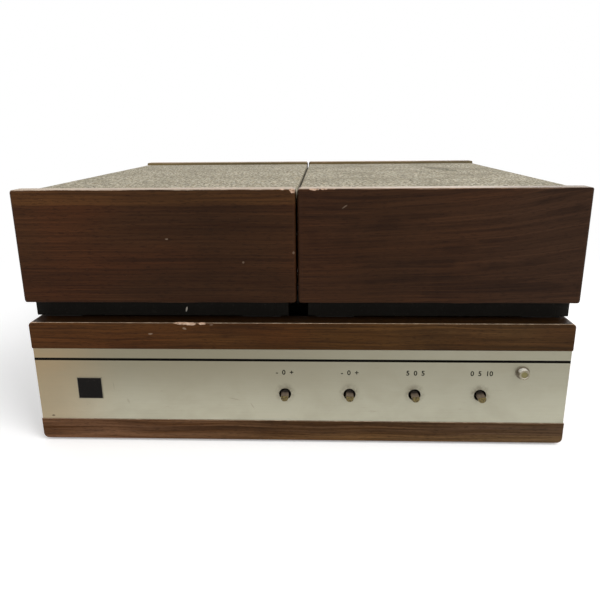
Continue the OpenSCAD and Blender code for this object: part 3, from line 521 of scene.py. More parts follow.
def add_faces(bm, rings, around=True):
    """Joins each row of points to the next. A row of one point is a tip."""
    for one, two in zip(rings, rings[1:]):
        steps = max(len(one), len(two))
        for i in range(steps if around else steps - 1):
            j = (i + 1) % steps
            corners = [one[i % len(one)], one[j % len(one)], two[j % len(two)], two[i % len(two)]]
            corners = list(dict.fromkeys(corners))
            if len(corners) > 2:
                bm.faces.new(corners)


def add_box(bm, low, high, ease=0.0):
    """A block between two corners, with its edges eased."""
    made = bmesh.ops.create_cube(bm, size=1.0)["verts"]
    low, high = Vector(low), Vector(high)
    for v in made:
        v.co = Vector(c * s for c, s in zip(v.co, high - low)) + (low + high) / 2
    if ease:
        eased(bm, {e for v in made for e in v.link_edges}, ease)


def add_turned(bm, profile, place, steps, flutes=0, closed=False):
    """Turns a profile of (radius, height) round an axis. A third number is the flutes' depth there."""
    rings = []
    for radius, height, *depth in profile:
        ring = []
        for i in range(steps if radius > 0 else 1):
            angle = 2 * math.pi * i / steps
            cut = depth[0] * (0.5 + 0.5 * math.cos(flutes * angle)) if depth else 0.0
            point = at((radius - cut) * math.cos(angle), (radius - cut) * math.sin(angle), height)
            ring.append(bm.verts.new(place @ point))
        rings.append(ring)
    add_faces(bm, rings + rings[:1] if closed else rings)


def add_prism(bm, outline, place, depth, ease=0.0):
    """A flat outline in millimetres, raised by a depth."""
    low = [bm.verts.new(place @ at(x, y, 0)) for x, y in outline]
    high = [bm.verts.new(place @ at(x, y, depth)) for x, y in outline]
    bm.faces.new(low[::-1])
    top = bm.faces.new(high)
    add_faces(bm, (low, high))
    if ease:
        eased(bm, top.edges, ease)


def final_mesh(obj):
    """The mesh of an object with its modifiers applied."""
    bpy.context.view_layer.update()
    return bpy.data.meshes.new_from_object(obj.evaluated_get(bpy.context.evaluated_depsgraph_get()))


def add_text(bm, words, height, place):
    """Printed figures with the given height of a capital."""
    curve = bpy.data.curves.new("figures", "FONT")
    curve.body = words
    curve.size = height * MM / CAP_SHARE
    curve.align_x = "CENTER"
    curve.align_y = "CENTER"
    curve.extrude = INK_DEPTH * MM / 2
    curve.offset = height * MM * INK_SPREAD
    curve.resolution_u = 4
    holder = bpy.data.objects.new("figures", curve)
    SCENE.collection.objects.link(holder)
    mesh = final_mesh(holder)
    mesh.transform(place)
    bm.from_mesh(mesh)
    bpy.data.objects.remove(holder)
    bpy.data.curves.remove(curve)
    bpy.data.meshes.remove(mesh)


def smooth(obj):
    """Shades round faces smooth and keeps the large flat ones flat."""
    obj.data.shade_smooth()
    obj.data.set_sharp_from_angle(angle=FLAT_ANGLE)
    obj.modifiers.new("normals", "WEIGHTED_NORMAL").keep_sharp = True


def loose(name, bm, finish):
    """An object made of a mesh that rides on nothing yet."""
    bmesh.ops.recalc_face_normals(bm, faces=bm.faces)
    mesh = bpy.data.meshes.new(name)
    bm.to_mesh(mesh)
    bm.free()
    mesh.materials.append(finish)
    obj = bpy.data.objects.new(name, mesh)
    SCENE.collection.objects.link(obj)
    smooth(obj)
    return obj


def join(obj, body, slot, *stands_for):
    """Lets a piece ride on a body and hides the CAD nodes that it replaces. The slot is not used."""
    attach(obj, body)
    if stands_for:
        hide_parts(*stands_for)


def piece(name, bm, finish, body, slot, *stands_for):
    join(loose(name, bm, finish), body, slot, *stands_for)


def box_piece(name, blocks, ease, finish, body, slot):
    """A piece made of blocks, each given by two corners."""
    bm = bmesh.new()
    for low, high in blocks:
        add_box(bm, low, high, ease)
    piece(name, bm, finish, body, slot)


def turned_piece(name, profile, place, steps, finish, body, slot, *stands_for, **ways):
    bm = bmesh.new()
    add_turned(bm, profile, place, steps, **ways)
    piece(name, bm, finish, body, slot, *stands_for)


def carved(obj, cutter):
    """Cuts one mesh out of another. The cut faces keep the cutter's finish."""
    cut = obj.modifiers.new("cut", "BOOLEAN")
    cut.object = cutter
    cut.solver = "EXACT"
    cut.material_mode = "TRANSFER"
    cut.use_self = True
    done = final_mesh(obj)
    obj.modifiers.clear()
    obj.data = done
    smooth(obj)
    bpy.data.objects.remove(cutter)


def chip(obj, chips, seed):
    """Breaks lumpy flakes out of an edge, each given by its centre and its reach."""
    bm = bmesh.new()
    chance = random.Random(seed)
    for centre, reach in chips:
        drift = Vector((chance.uniform(0, 50), 0, 0))
        for v in bmesh.ops.create_icosphere(bm, subdivisions=3, radius=1.0)["verts"]:
            swell = 0.82 + 0.30 * noise.noise(v.co * 2.3 + drift)
            v.co = at(*centre) + Vector(c * r * swell * MM for c, r in zip(v.co, reach))
    carved(obj, loose("flakes", bm, BARE_CORE))


def eased_copy(node, ease):
    """A copy of a CAD board with clean faces and eased edges."""
    bm = bmesh.new()
    bm.from_mesh(NODES[node].data)
    bmesh.ops.remove_doubles(bm, verts=bm.verts, dist=SAME_POINT)
    bmesh.ops.dissolve_limit(bm, angle_limit=0.01, verts=bm.verts, edges=bm.edges)
    sharp = [e for e in bm.edges if len(e.link_faces) == 2 and e.calc_face_angle() > SHARP_ANGLE]
    eased(bm, sharp, ease, 3)
    return bm


def add_worn_board(bm, low, high, ease):
    """A board along x whose long edges are rounded unevenly, as years of handling leave them."""
    count = int((high.x - low.x) / (BOARD_STEP * MM))
    ends = [(e * END_EASE * MM, (1 - math.sqrt(e * (2 - e))) * END_EASE * MM) for e in END_STEPS]
    stations = [(low.x + e, sink) for e, sink in ends]
    stations += [(low.x + (high.x - low.x) * i / count, 0.0) for i in range(1, count)]
    stations += [(high.x - e, sink) for e, sink in ends[::-1]]
    middle_y, middle_z = (low.y + high.y) / 2, (low.z + high.z) / 2
    half_y, half_z = (high.y - low.y) / 2, (high.z - low.z) / 2
    rings = []
    for x, sink in stations:
        ring = []
        for corner, (side_y, side_z) in enumerate(((-1, 1), (-1, -1), (1, -1), (1, 1))):
            wear = noise.noise(Vector((x * 45, corner * 7.3, middle_y * 9)))
            radius = ease * MM * max(0.45, 1.0 + 0.9 * wear)
            for i in range(4):
                angle = math.radians((corner + 1) * 90 + 30 * i)
                y = middle_y + side_y * (half_y - radius - sink) + radius * math.cos(angle)
                z = middle_z + side_z * (half_z - radius - sink) + radius * math.sin(angle)
                ring.append(bm.verts.new((x, y, z)))
        rings.append(ring)
    add_faces(bm, rings)
    bm.faces.new(rings[0])
    bm.faces.new(rings[-1])


def dress(node, finish, ease=0.3, segments=2):
    """Gives a CAD node its finish and eases its sharp edges."""
    obj = NODES[node]
    obj.data.materials.clear()
    obj.data.materials.append(finish)
    obj.modifiers.new("weld", "WELD").merge_threshold = SAME_POINT
    if ease:
        bevel = obj.modifiers.new("ease", "BEVEL")
        bevel.width = ease * MM
        bevel.segments = segments
        bevel.limit_method = "ANGLE"
        bevel.angle_limit = SHARP_ANGLE
    obj.modifiers.new("normals", "WEIGHTED_NORMAL").keep_sharp = True


def solids_of(mesh):
    """The separate solids of a CAD node, each as its faces and its box."""
    first = {}
    parent = list(range(len(mesh.vertices)))

    def root(i):
        while parent[i] != i:
            parent[i] = parent[parent[i]]
            i = parent[i]
        return i

    for v in mesh.vertices:
        key = tuple(round(c, 6) for c in v.co)
        parent[root(v.index)] = root(first.setdefault(key, v.index))
    for p in mesh.polygons:
        for v in p.vertices[1:]:
            parent[root(v)] = root(p.vertices[0])
    groups = {}
    for p in mesh.polygons:
        groups.setdefault(root(p.vertices[0]), []).append(p)
    for faces in groups.values():
        points = [mesh.vertices[v].co for p in faces for v in p.vertices]
        low, high = (Vector(pick(p[i] for p in points) for i in range(3)) for pick in (min, max))
        yield faces, low, high


def dress_solids(node, finishes, choose, ease=0.3):
    """Gives each solid of a CAD node the finish that choose names by its size in millimetres."""
    dress(node, finishes[0], ease)
    mesh = NODES[node].data
    for finish in finishes[1:]:
        mesh.materials.append(finish)
    for faces, low, high in solids_of(mesh):
        index = choose((high - low) / MM)
        for p in faces:
            p.material_index = index


# Places taken from the CAD frame

panel_low, panel_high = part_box("front_panel")
deck_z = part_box("deck_plate")[1].z
CONTROLS = ("treble", "bass", "balance", "volume")
SIDES = ("left", "right")


def middle_of(node):
    low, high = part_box(node)
    return (low + high) / 2


shafts = [middle_of(control + "_shaft") for control in CONTROLS]
holes = [Vector((shaft.x, panel_low.y, shaft.z)) for shaft in shafts]

# Finishes of the wood. A mark is a share, x, z, two half sizes and a turn

WOOD_FACE = -181.4
PANEL_FACE = -181.0


def marks(y, *rows):
    return tuple((share, ((x, y, z), long, thin, turn)) for share, x, z, long, thin, turn in rows)


BASE_LOOK = {
    "tones": (tone(61, 41, 20), tone(77, 53, 28), tone(91, 65, 37), tone(90, 57, 30)),
    # Painted shade: the base's upper faces are dark as if the overhanging speakers shaded them
    "top": tone(30, 20, 13),
    "rim": tone(204, 182, 156),
    "veins": 0.3,
    "sway": 3.5,
}
# The cheeks' upper faces: pale bare wood with a painted reflection on it
CHEEK_LOOK = {"top": tone(206, 188, 168), "inner": tone(120, 108, 80)}
FRONT_LOOK = {
    "scuffs": marks(WOOD_FACE, (0.36, -114.3, 92.9, 2.0, 0.8, 0), (0.34, -87.5, 97.4, 1.9, 1.0, 20),
                    (0.26, -66.5, 100.4, 1.6, 0.6, -6)),
    "bands": ((24.0, 16.0, tone(118, 93, 71), 1.0, 0.45), (9.2, 7.6, tone(126, 95, 60), 0.0, 0.75)),
    "drift": ((0.0, (1.30, 1.09, 1.02, 1)), (0.40, (0.84, 0.74, 0.62, 1)), (0.70, (1.00, 0.94, 0.82, 1)),
              (1.0, (0.95, 1.02, 1.20, 1))),
}
LEFT_LOOK = {
    "tones": (tone(51, 32, 20), tone(59, 39, 25), tone(67, 45, 30), tone(73, 43, 26)),
    "rim": tone(180, 160, 140),
    "veins": 0.15,
    "sway": 0.8,
    "scuffs": marks(WOOD_FACE, (0.30, -96.4, 167.2, 1.3, 0.6, 0), (0.22, -40, 149.5, 1.0, 1.0, 10),
                    (0.18, -2.4, 156.8, 1.0, 1.2, 0)),
    "bands": ((191.2, 193.4, tone(82, 56, 34), 1.0, 1.0),),
    "drift": ((0.0, (1.36, 1.29, 1.14, 1)), (0.12, (1.05, 1.02, 0.94, 1)), (0.27, (0.88, 0.87, 0.80, 1)),
              (0.48, (1.06, 1.04, 0.94, 1))),
}
RIGHT_LOOK = {
    "tones": (tone(52, 35, 24), tone(60, 41, 28), tone(68, 47, 33), tone(68, 44, 28)),
    "rim": tone(146, 118, 96),
    "veins": 0.42,
    "sway": 2.0,
    "bend": 0.42,
    "scuffs": marks(WOOD_FACE, (0.24, 34.9, 190.5, 2.6, 0.5, -35)),
    "drift": ((0.50, (1.08, 0.96, 0.84, 1)), (0.72, (0.96, 0.89, 0.74, 1)), (0.90, (1.08, 1.05, 1.00, 1)),
              (1.0, (1.05, 1.08, 1.16, 1))),
    "dim": (110, 190),
}
BARE_CORE = chipped_core("bare_chipboard")
BASE_WALNUT = walnut("base_walnut_x", "x", (0.2, 0.0, 0.1), **BASE_LOOK, **FRONT_LOOK)
SIDE_WALNUT = walnut("base_walnut_y", "y", (0.0, 0.4, 0.3), **BASE_LOOK)
CHEEK_WALNUT = {
    "left": walnut("left_walnut", "x", (0.5, 0.3, 0.03), **CHEEK_LOOK, **LEFT_LOOK),
    "right": walnut("right_walnut", "x", (0.9, 0.7, 0.4), **CHEEK_LOOK, **RIGHT_LOOK),
}

# Finishes of the cloths and boards

# A darker patch laid along the right cloth's long crease
RIGHT_CREASE_PATCHES = ((0.5, ((149, 60, 200), 44, 11, -74)),)
CLOTH = {
    "left": tweed("left_tweed", (0.3, 0.1, 0), tone(80, 72, 56), 0.30),
    "right": tweed("right_tweed", (0.8, 0.45, 0), tone(60, 52, 38), 0.50, RIGHT_CREASE_PATCHES),
}
FELT = fibre_board("black_felt", tone(30, 28, 26))
HARDBOARD = fibre_board("hardboard", tone(122, 92, 62))
BACK_BOARD = fibre_board("black_back_board", tone(46, 42, 38))
CONE_PAPER = fibre_board("cone_paper", tone(38, 36, 34))
BOARD_BROWN = fibre_board("circuit_board", tone(150, 118, 62))

# Finishes of paint, ink and plastic: roughness, grain size, relief, dust, worn edges, gloss

SKIRT_FLECKS = (((-88.4, -166.4, 108.4), 0.7, 2.4, 12),)
BLACK_PAINT = moulded("black_board_paint", tone(33, 31, 28), 0.72, 0.0012, 0.3, 0.05, tone(52, 46, 40),
                      0.08, SKIRT_FLECKS)
GROOVE_PAINT = moulded("groove_paint", tone(14, 11, 7), 0.62, 0.0008, 0.1, 0.02, None, 0.05)
PRINT = moulded("printed_ink", tone(24, 22, 18), 0.6, 0.0005, 0.05, 0.1, None, 0.05)
WHITE_PRINT = moulded("white_ink", tone(226, 224, 214), 0.55, 0.0005, 0.05, 0.1)
ENAMEL = moulded("badge_enamel", tone(20, 17, 15), 0.38, 0.0009, 0.08, 0.06, None, 0.1)
RUBBER = moulded("black_rubber", tone(34, 33, 32), 0.78, 0.0006, 0.3, 0.25)
BLACK_PLASTIC = moulded("black_plastic", tone(38, 37, 36), 0.42, 0.0005, 0.18, 0.08, tone(84, 82, 78))
IVORY = moulded("key_ivory", tone(222, 214, 192), 0.36, 0.0006, 0.08, 0.10, tone(196, 182, 150))
RED = moulded("key_red", tone(166, 40, 32), 0.36, 0.0006, 0.08, 0.08, tone(196, 92, 78))
NEEDLE_RED = moulded("needle_red", tone(190, 40, 28), 0.45, 0.0005, 0.05, 0.03)
DIAL_CARD = moulded("dial_card", tone(232, 226, 206), 0.7, 0.0004, 0.1, 0.06)
WHEEL_WHITE = moulded("counter_wheel", tone(226, 222, 210), 0.5, 0.0005, 0.08, 0.1)
CHASSIS = moulded("driver_black", tone(44, 43, 42), 0.5, 0.0007, 0.2, 0.15, tone(96, 94, 90))
CAPACITOR = moulded("capacitor_blue", tone(44, 70, 104), 0.35, 0.0008, 0.08, 0.1)

# Finishes of metal: roughness, direction of the lines, lines, smudges, relief, dirt

RIM_METAL = metal("rim_metal", tone(142, 136, 119), 0.25, "none", 0.05, 0.25, 0.03, 0.3)
CHROME = metal("bright_chrome", tone(206, 204, 196), 0.14, "none", 0.05, 0.15, 0.03, 0.25)
BUTTON_DISC = metal("button_disc", tone(128, 121, 86), 0.38, "none", 0.15, 0.4, 0.05, 0.8)
KNOB_CAP = metal("knob_cap", tone(186, 184, 176), 0.30, "none", 0.15, 0.2, 0.05, 0.1)
STEEL = metal("plated_steel", tone(190, 190, 186), 0.32, "y", 0.1, 0.2, 0.05, 0.15)
POT_METAL = metal("pot_metal", tone(164, 160, 148), 0.42, "none", 0.12, 0.2, 0.06, 0.2)
DECK_METAL = metal("deck_metal", tone(206, 204, 196), 0.34, "x", 0.35, 0.08, 0.10, 0.05)
HEAD_METAL = metal("head_metal", tone(198, 196, 188), 0.22, "z", 0.08, 0.1, 0.03)
BRONZE = metal("bearing_bronze", tone(176, 138, 76), 0.38, "none", 0.1, 0.2, 0.05, 0.2)
MOTOR_CAN = metal("motor_can", tone(150, 152, 154), 0.40, "z", 0.12, 0.15, 0.05, 0.15)
PANEL_MARKS = marks(PANEL_FACE, (0.75, -200, 22, 1.5, 0.9, 0), (0.22, -37, 32.5, 3.4, 0.5, 60),
                    (0.20, -51, 38, 5.0, 0.6, 12), (0.16, -137, 35.5, 2.6, 0.9, 70),
                    (0.18, -147.7, 48.5, 4.2, 0.4, 86))
PANEL_METAL = panel_metal("panel_aluminium", panel_low, panel_high, holes, PANEL_MARKS)
# Power button and its bush: painted highlight on top, painted shade below
BUTTON_CHROME = tarnished("button_chrome", tone(252, 249, 240), tone(140, 132, 112))
BUSH_CHROME = tarnished("bush_chrome", tone(150, 142, 128), tone(98, 90, 74))
SHAFT_METAL = shaft_metal("shaft_metal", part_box("treble_shaft")[0].y, panel_low.y)
IRON = stacked("transformer_iron", tone(104, 106, 110), tone(58, 50, 44), 1.0)
COIL = stacked("transformer_coil", tone(172, 122, 62), tone(110, 72, 36), 0.8)

# Finishes of the tape and of clear plastic

TAPE_RUN = wound("tape_brown", (0, 0, 0))
SMOKE = clear("reel_plastic", tone(206, 204, 194), 0.22)
GLASS = clear("clear_window", tone(246, 248, 246), 0.04)

# Screws: radius and distance from the edge of what they hold

SCREWS = {"connector": (2.1, 5), "bottom": (3.0, 8), "back": (2.8, 8), "deck": (2.6, 6)}
SCREW_HEAD = ((0, 0.55), (0.45, 0.5), (0.8, 0.32), (1, 0.05), (1, -0.3), (0, -0.3))


def make_screw():
    """A slotted round head with a radius of one millimetre."""
    bm = bmesh.new()
    add_turned(bm, SCREW_HEAD, FACE_UP, 28)
    head = loose("screw", bm, STEEL)
    slot = bmesh.new()
    add_box(slot, at(-1.4, -0.14, 0.2), at(1.4, 0.14, 1))
    carved(head, loose("slot", slot, STEEL))
    mesh = head.data
    bpy.data.objects.remove(head)
    return mesh


SCREW = make_screw()


def screws(name, places, radius, facing, body):
    """Slotted screws, each turned its own way."""
    bm = bmesh.new()
    chance = random.Random(len(name))
    for place in places:
        turn = Matrix.Rotation(chance.uniform(0, math.pi), 4, "Z")
        mesh = SCREW.copy()
        mesh.transform(placed(Vector(place), facing) @ turn @ Matrix.Scale(radius, 4))
        bm.from_mesh(mesh)
        bpy.data.meshes.remove(mesh)
    piece(name, bm, STEEL, body, "plated_steel")


# Base cabinet

BOARD_EASE = 0.5
BASE_SEED = 4
BASE_CHIPS = (((-89, -181.5, 102.2), (8.4, 2.2, 2.1)), ((-83, -181.5, 101.6), (5.2, 1.6, 2.2)),
              ((-73.5, -181.5, 101.9), (3.4, 1.6, 1.9)), ((-206, -181.5, 102.2), (5.0, 1.3, 0.9)))
GROOVE_DOWN, GROOVE_WIDE = 8.9, 2.1
GROOVE_LAP, GROOVE_DEEP = 0.02, 0.5
BADGE_LOW, BADGE_HIGH = (-177.0, 37.4), (-156.9, 55.8)
BADGE_RIM, BADGE_THICK, BADGE_SUNK = 0.45, 0.35, 0.12
DIALS = {"treble": "-  0  +", "bass": "-  0  +", "balance": "5  0  5", "volume": "0  5  10"}
DIAL_UP = 18.2
DIAL_FIGURE = 3.9
DISC_BACK = 0.6
DISC_PROFILE = ((0, 0.12), (1.5, 0.10), (2.3, 0.02), (2.8, -0.08), (2.8, -0.5), (0, -0.5))
PLATE_INSET = 1.3
SOCKET_PITCH = 34
SOCKET_CUT = ((7.0, 0.5), (7.0, -0.9), (6.1, -0.9), (6.1, 0.5))
SOCKET_RING = ((7.0, -0.8), (7.0, 0.5), (7.3, 0.8), (8.4, 0.8), (8.9, 0.4), (8.9, -0.2), (8.0, -0.3))
SOCKET_PINS = 5
PIN_REACH = 3.7
PIN_CUT = ((0, 0.5), (0.75, 0.5), (0.75, -1.0), (0, -1.0))
GLAND_FACE = ((6, -3), (9, -3), (9, -0.6), (8.7, -0.15), (8.2, 0), (5.2, 0), (4.8, -0.5), (4.2, -0.5),
              (3.6, -1.2))


def base_boards():
    for name, node, finish in (("walnut_front", "front_board", BASE_WALNUT),
                               ("walnut_sides", "side_boards", SIDE_WALNUT),
                               ("walnut_rear", "rear_board", BASE_WALNUT)):
        board = loose(name, eased_copy(node, BOARD_EASE), finish)
        if node == "front_board":
            chip(board, BASE_CHIPS, BASE_SEED)
        join(board, "base", "base_walnut", node)


def groove():
    """Black paint that fills the panel's groove and laps a little over its edges."""
    middle = panel_high.z - GROOVE_DOWN * MM
    half = GROOVE_WIDE / 2 * MM
    low = (panel_low.x, panel_low.y - GROOVE_LAP * MM, middle - half)
    high = (panel_high.x, panel_low.y + GROOVE_DEEP * MM, middle + half)
    box_piece("groove_paint_line", [(low, high)], 0.01, GROOVE_PAINT, "base", "panel_aluminium")


def badge():
    """A bare enamelled plate with a bright rim."""
    (left, low), (right, high) = BADGE_LOW, BADGE_HIGH
    back = panel_low.y / MM
    front = back - BADGE_THICK
    lap = BADGE_RIM / 2
    plate = (at(left + lap, front + BADGE_SUNK, low + lap), at(right - lap, back, high - lap))
    box_piece("badge_plate", [plate], 0.08, ENAMEL, "base", "black_plastic")
    inner_low, inner_high = low + BADGE_RIM, high - BADGE_RIM
    bars = ((left, right, low, inner_low), (left, right, inner_high, high),
            (left, left + BADGE_RIM, inner_low, inner_high),
            (right - BADGE_RIM, right, inner_low, inner_high))
    blocks = [(at(x0, front, z0), at(x1, back, z1)) for x0, x1, z0, z1 in bars]
    box_piece("badge_rim", blocks, 0.1, RIM_METAL, "base", "bright_chrome")


def dial_marks():
    bm = bmesh.new()
    for name, hole in zip(CONTROLS, holes):
        spot = hole + at(0, -INK_DEPTH / 3, DIAL_UP)
        add_text(bm, DIALS[name], DIAL_FIGURE, placed(spot, FACE_FRONT))
    piece("dial_figures", bm, PRINT, "base", "black_plastic")


def button_face():
    """Satin disc in the dished face of the power button."""
    spot = middle_of("power_button")
    spot.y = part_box("power_button")[0].y + DISC_BACK * MM
    turned_piece("button_disc", DISC_PROFILE, placed(spot, FACE_FRONT), 40, BUTTON_DISC, "power_button",
                 "bright_chrome")


def rear_connections():
    """Connector plate with three round sockets, set in a little, and the gland of the mains lead."""
    solids = sorted(solids_of(NODES["connector_panel"].data), key=lambda s: s[2].x - s[1].x)
    (_, gland_low, gland_high), (_, low, high) = solids
    face = high.y - PLATE_INSET * MM
    bm = bmesh.new()
    add_box(bm, low, (high.x, face, high.z), 0.3)
    plate = loose("connector_plate", bm, BLACK_PLASTIC)
    centre = (low + high) / 2
    cuts, rings = bmesh.new(), bmesh.new()
    for i in (-1, 0, 1):
        socket = placed(Vector((centre.x + i * SOCKET_PITCH * MM, face, centre.z)), FACE_REAR)
        add_turned(cuts, SOCKET_CUT, socket, 56, closed=True)
        for pin in range(SOCKET_PINS):
            angle = math.radians(180 * pin / (SOCKET_PINS - 1))
            spot = Matrix.Translation(at(PIN_REACH * math.cos(angle), -PIN_REACH * math.sin(angle), 0))
            add_turned(cuts, PIN_CUT, socket @ spot, 16)
        add_turned(rings, SOCKET_RING, socket, 56, closed=True)
    carved(plate, loose("socket_cuts", cuts, POT_METAL))
    piece("socket_rings", rings, STEEL, "base", "plated_steel")
    join(plate, "base", "black_plastic", "connector_panel")
    radius, edge = SCREWS["connector"]
    corners = product(inset(low.x, high.x, edge), (face,), inset(low.z, high.z, edge))
    screws("connector_screws", corners, radius, FACE_REAR, "base")
    length = (gland_high.y - gland_low.y) / MM
    middle = (gland_low + gland_high) / 2
    spot = placed(Vector((middle.x, gland_high.y, middle.z)), FACE_REAR)
    turned_piece("lead_gland", ((3.6, -length), (6, -length)) + GLAND_FACE, spot, 56, BLACK_PLASTIC, "base",
                 "black_plastic", "connector_panel", closed=True)


def under_side():
    low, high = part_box("bottom_panel")
    radius, edge = SCREWS["bottom"]
    left, right = inset(low.x, high.x, edge)
    spots = product((left, 0.0, right), inset(low.y, high.y, edge), (low.z,))
    screws("bottom_screws", spots, radius, FACE_DOWN, "base")


# Speakers

CHEEK_EASE = 1.1
CHEEK_SEED = 7
CHEEK_CHIPS = {
    "left": (((-10, -181.6, 203.9), (2.6, 1.8, 1.6)), ((-2.0, -181.6, 202.9), (3.6, 2.6, 3.4)),
             ((-19, -181.6, 203.9), (2.0, 1.2, 1.0))),
    "right": (((13, -181.6, 203.9), (5.2, 2.2, 2.0)), ((20, -181.6, 203.9), (4.2, 1.9, 1.7)),
              ((27, -181.6, 203.9), (2.6, 1.4, 1.1))),
}
FELT_UNDER = 40
CHASSIS_OVER = 160
CLOTH_STEP = 3.0
CLOTH_THICK = 1.0
CLOTH_FOLD = 1.6
CLOTH_SWELL = 0.3
CLOTH_PULL = 0.10
CREASES = {
    "left": (((-70, 60), (-45, 150), 5, 0.22),),
    "right": (((134, 112), (166, 14), 4.5, 1.1), ((60, -60), (90, 20), 9, 0.18)),
}


def crease_height(side, x, y):
    """Height of the shallow creases in a cloth at a place, in millimetres."""
    height = 0.0
    for (x0, y0), (x1, y1), wide, rise in CREASES[side]:
        run = Vector((x1 - x0, y1 - y0))
        along = (Vector((x - x0, y - y0)) @ run) / run.length_squared
        off = abs((x - x0) * run.y - (y - y0) * run.x) / run.length
        fade = max(0.0, 1 - (2 * along - 1) ** 2) if 0 < along < 1 else 0.0
        height += rise * fade * math.exp(-((off / wide) ** 2))
    return height


def cloth_line(low, high):
    """Across a cloth, from one turned-down edge over the top to the other: (x, z) in metres."""
    fold = CLOTH_FOLD * MM
    line = [(low.x, low.z), (low.x, (low.z + high.z) / 2), (low.x, high.z - fold)]
    line += [(low.x + fold * (1 - math.cos(a)), high.z - fold * (1 - math.sin(a)))
             for a in (math.radians(d) for d in (22.5, 45, 67.5))]
    count = int((high.x - low.x - 2 * fold) / (CLOTH_STEP * MM))
    line += [(low.x + fold + (high.x - low.x - 2 * fold) * i / count, high.z) for i in range(count + 1)]
    line += [(low.x + high.x - x, z) for x, z in line[5::-1]]
    return line


def grille_cloth(side, body):
    """Tweed stretched over the baffle and turned down over its long edges."""
    node = body + "_cloth"
    low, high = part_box(node)
    line = cloth_line(low, high + at(0, 0, CLOTH_SWELL))
    rows = int((high.y - low.y) / (CLOTH_STEP * MM))
    bm = bmesh.new()
    grid = []
    for j in range(rows + 1):
        y = low.y + (high.y - low.y) * j / rows
        row = []
        for x, z in line:
            top = max(0.0, (z - low.z) / (high.z - low.z))
            pull = CLOTH_PULL * noise.noise(Vector((x * 38, y * 22, len(side))))
            lift = (pull + crease_height(side, x / MM, y / MM)) * MM * top ** 6
            row.append(bm.verts.new((x, y, z + lift)))
        grid.append(row)
    add_faces(bm, grid, around=False)
    cloth = loose(side + "_grille_cloth", bm, CLOTH[side])
    thick = cloth.modifiers.new("thickness", "SOLIDIFY")
    thick.thickness = CLOTH_THICK * MM
    thick.offset = -1
    join(cloth, body, "grille_cloth", node)
    width = sum((Vector(b) - Vector(a)).length for a, b in zip(line, line[1:]))


def speaker(side):
    body = side + "_speaker"
    cheek_low, cheek_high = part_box(body + "_cheeks")
    skirt_low, skirt_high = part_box(body + "_skirt")
    bm = bmesh.new()
    add_worn_board(bm, cheek_low, Vector((cheek_high.x, skirt_low.y, cheek_high.z)), CHEEK_EASE)
    add_worn_board(bm, Vector((cheek_low.x, skirt_high.y, cheek_low.z)), cheek_high, CHEEK_EASE)
    cheeks = loose(side + "_walnut_cheeks", bm, CHEEK_WALNUT[side])
    chip(cheeks, CHEEK_CHIPS[side], CHEEK_SEED)
    join(cheeks, body, "speaker_walnut", body + "_cheeks")
    low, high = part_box(body + "_back")
    radius, edge = SCREWS["back"]
    front, rear = inset(low.y, high.y, edge)
    spots = product(inset(low.x, high.x, edge), (front, (low.y + high.y) / 2, rear), (low.z,))
    screws(side + "_back_screws", spots, radius, FACE_DOWN, body)
    grille_cloth(side, body)
    skirt, driver = (BLACK_PAINT, FELT), (CHASSIS, CONE_PAPER)
    dress_solids(body + "_skirt", skirt, lambda size: int(max(size.x, size.y) < FELT_UNDER), 0.5)
    dress(body + "_back", BACK_BOARD)
    dress(body + "_baffle", HARDBOARD)
    dress_solids(body + "_driver", driver, lambda size: int(size.x <= CHASSIS_OVER), 0.2)


# Tape deck

TRIANGLE = ((-2.6, -2.6), (2.6, 0), (-2.6, 2.6))
DISC = tuple((2.5 * math.cos(math.pi * i / 12), 2.5 * math.sin(math.pi * i / 12)) for i in range(24))


def double(turn):
    """Two triangles side by side that point right or, with a turn of -1, left."""
    return tuple(tuple((turn * x + shift, turn * y) for x, y in TRIANGLE) for shift in (-2.7, 2.7))


KEY_SIGNS = {"record": (DISC,), "rewind": double(-1), "stop": (bar(2.3, 2.3),), "play": (TRIANGLE,),
             "forward": double(1)}
KEY_EASE = 0.7
SIGN_BACK, SIGN_DEPTH, SIGN_EASE = 3.8, 0.12, 0.05
KNOB_FLUTES = {"record_level_knob": 30, "speed_knob": 24}
KNOB_SHAFT = 3.0
KNOB_LIFT = 1.0
FLUTE_DEPTH = 0.7
KNOB_FIGURE = 2.4
KNOB_TICK = 0.2
LEVEL_SCALE = tuple((28 * i - 140, "" if i % 2 else str(i)) for i in range(11))
SPEED_SCALE = ((-40, "9.5"), (0, "0"), (40, "19"))
KNOB_SCALES = (("record_level_knob", 20.5, 1.1, 24.2, LEVEL_SCALE),
               ("speed_knob", 15.2, 0.9, 19.2, SPEED_SCALE))
METER_SPAN = (130, 50)
METER_ARC = 19.6
METER_STEPS = 40
METER_RED = 0.72
METER_FIGURES = ("20", "10", "5", "0", "3")
METER_FIGURE = 1.7
METER_PIN = 2.3
METER_TICK = (0.12, 0.9)
ARC_HALF, RED_HALF = 0.18, 0.45
TICK_OUT, FIGURE_IN = 0.6, 2.4
CARD_UP, CARD_FROM = 3.0, 4.0
CARD_THICK, CARD_LAP, CARD_INK = 0.12, 0.11, 0.04
MASK_UP, MASK_TO = (2.6, 3.2), 4.6
COUNT = "047"
COUNTER_WHEEL = 4.0
COUNTER_PITCH = 6.8
COUNTER_FIGURE = 3.4
COUNTER_CLEAR, COUNTER_INK = 0.3, 0.02
COUNTER_CUT = 0.6
COUNTER_CASE_OVER = 12
TRIM_EDGE, TRIM_HALF = 6.0, 0.35
TRIM_STRIPS = ((2.5, 3.7), (6.0, 7.2))
DECK_ROWS = (-0.125, 0.005, 0.160)
DECK_FRONT = (-0.100, 0.100)
LINE_BACK, LINE_WIDE, LINE_SUNK = 4.0, 0.5, 0.01
CAP_PROFILE = ((0, 0), (1.2, 0), (2.4, -0.4), (3.0, -1.2), (3.9, -1.4), (4.05, -1.8), (4.05, -4.2),
               (3.5, -4.4))


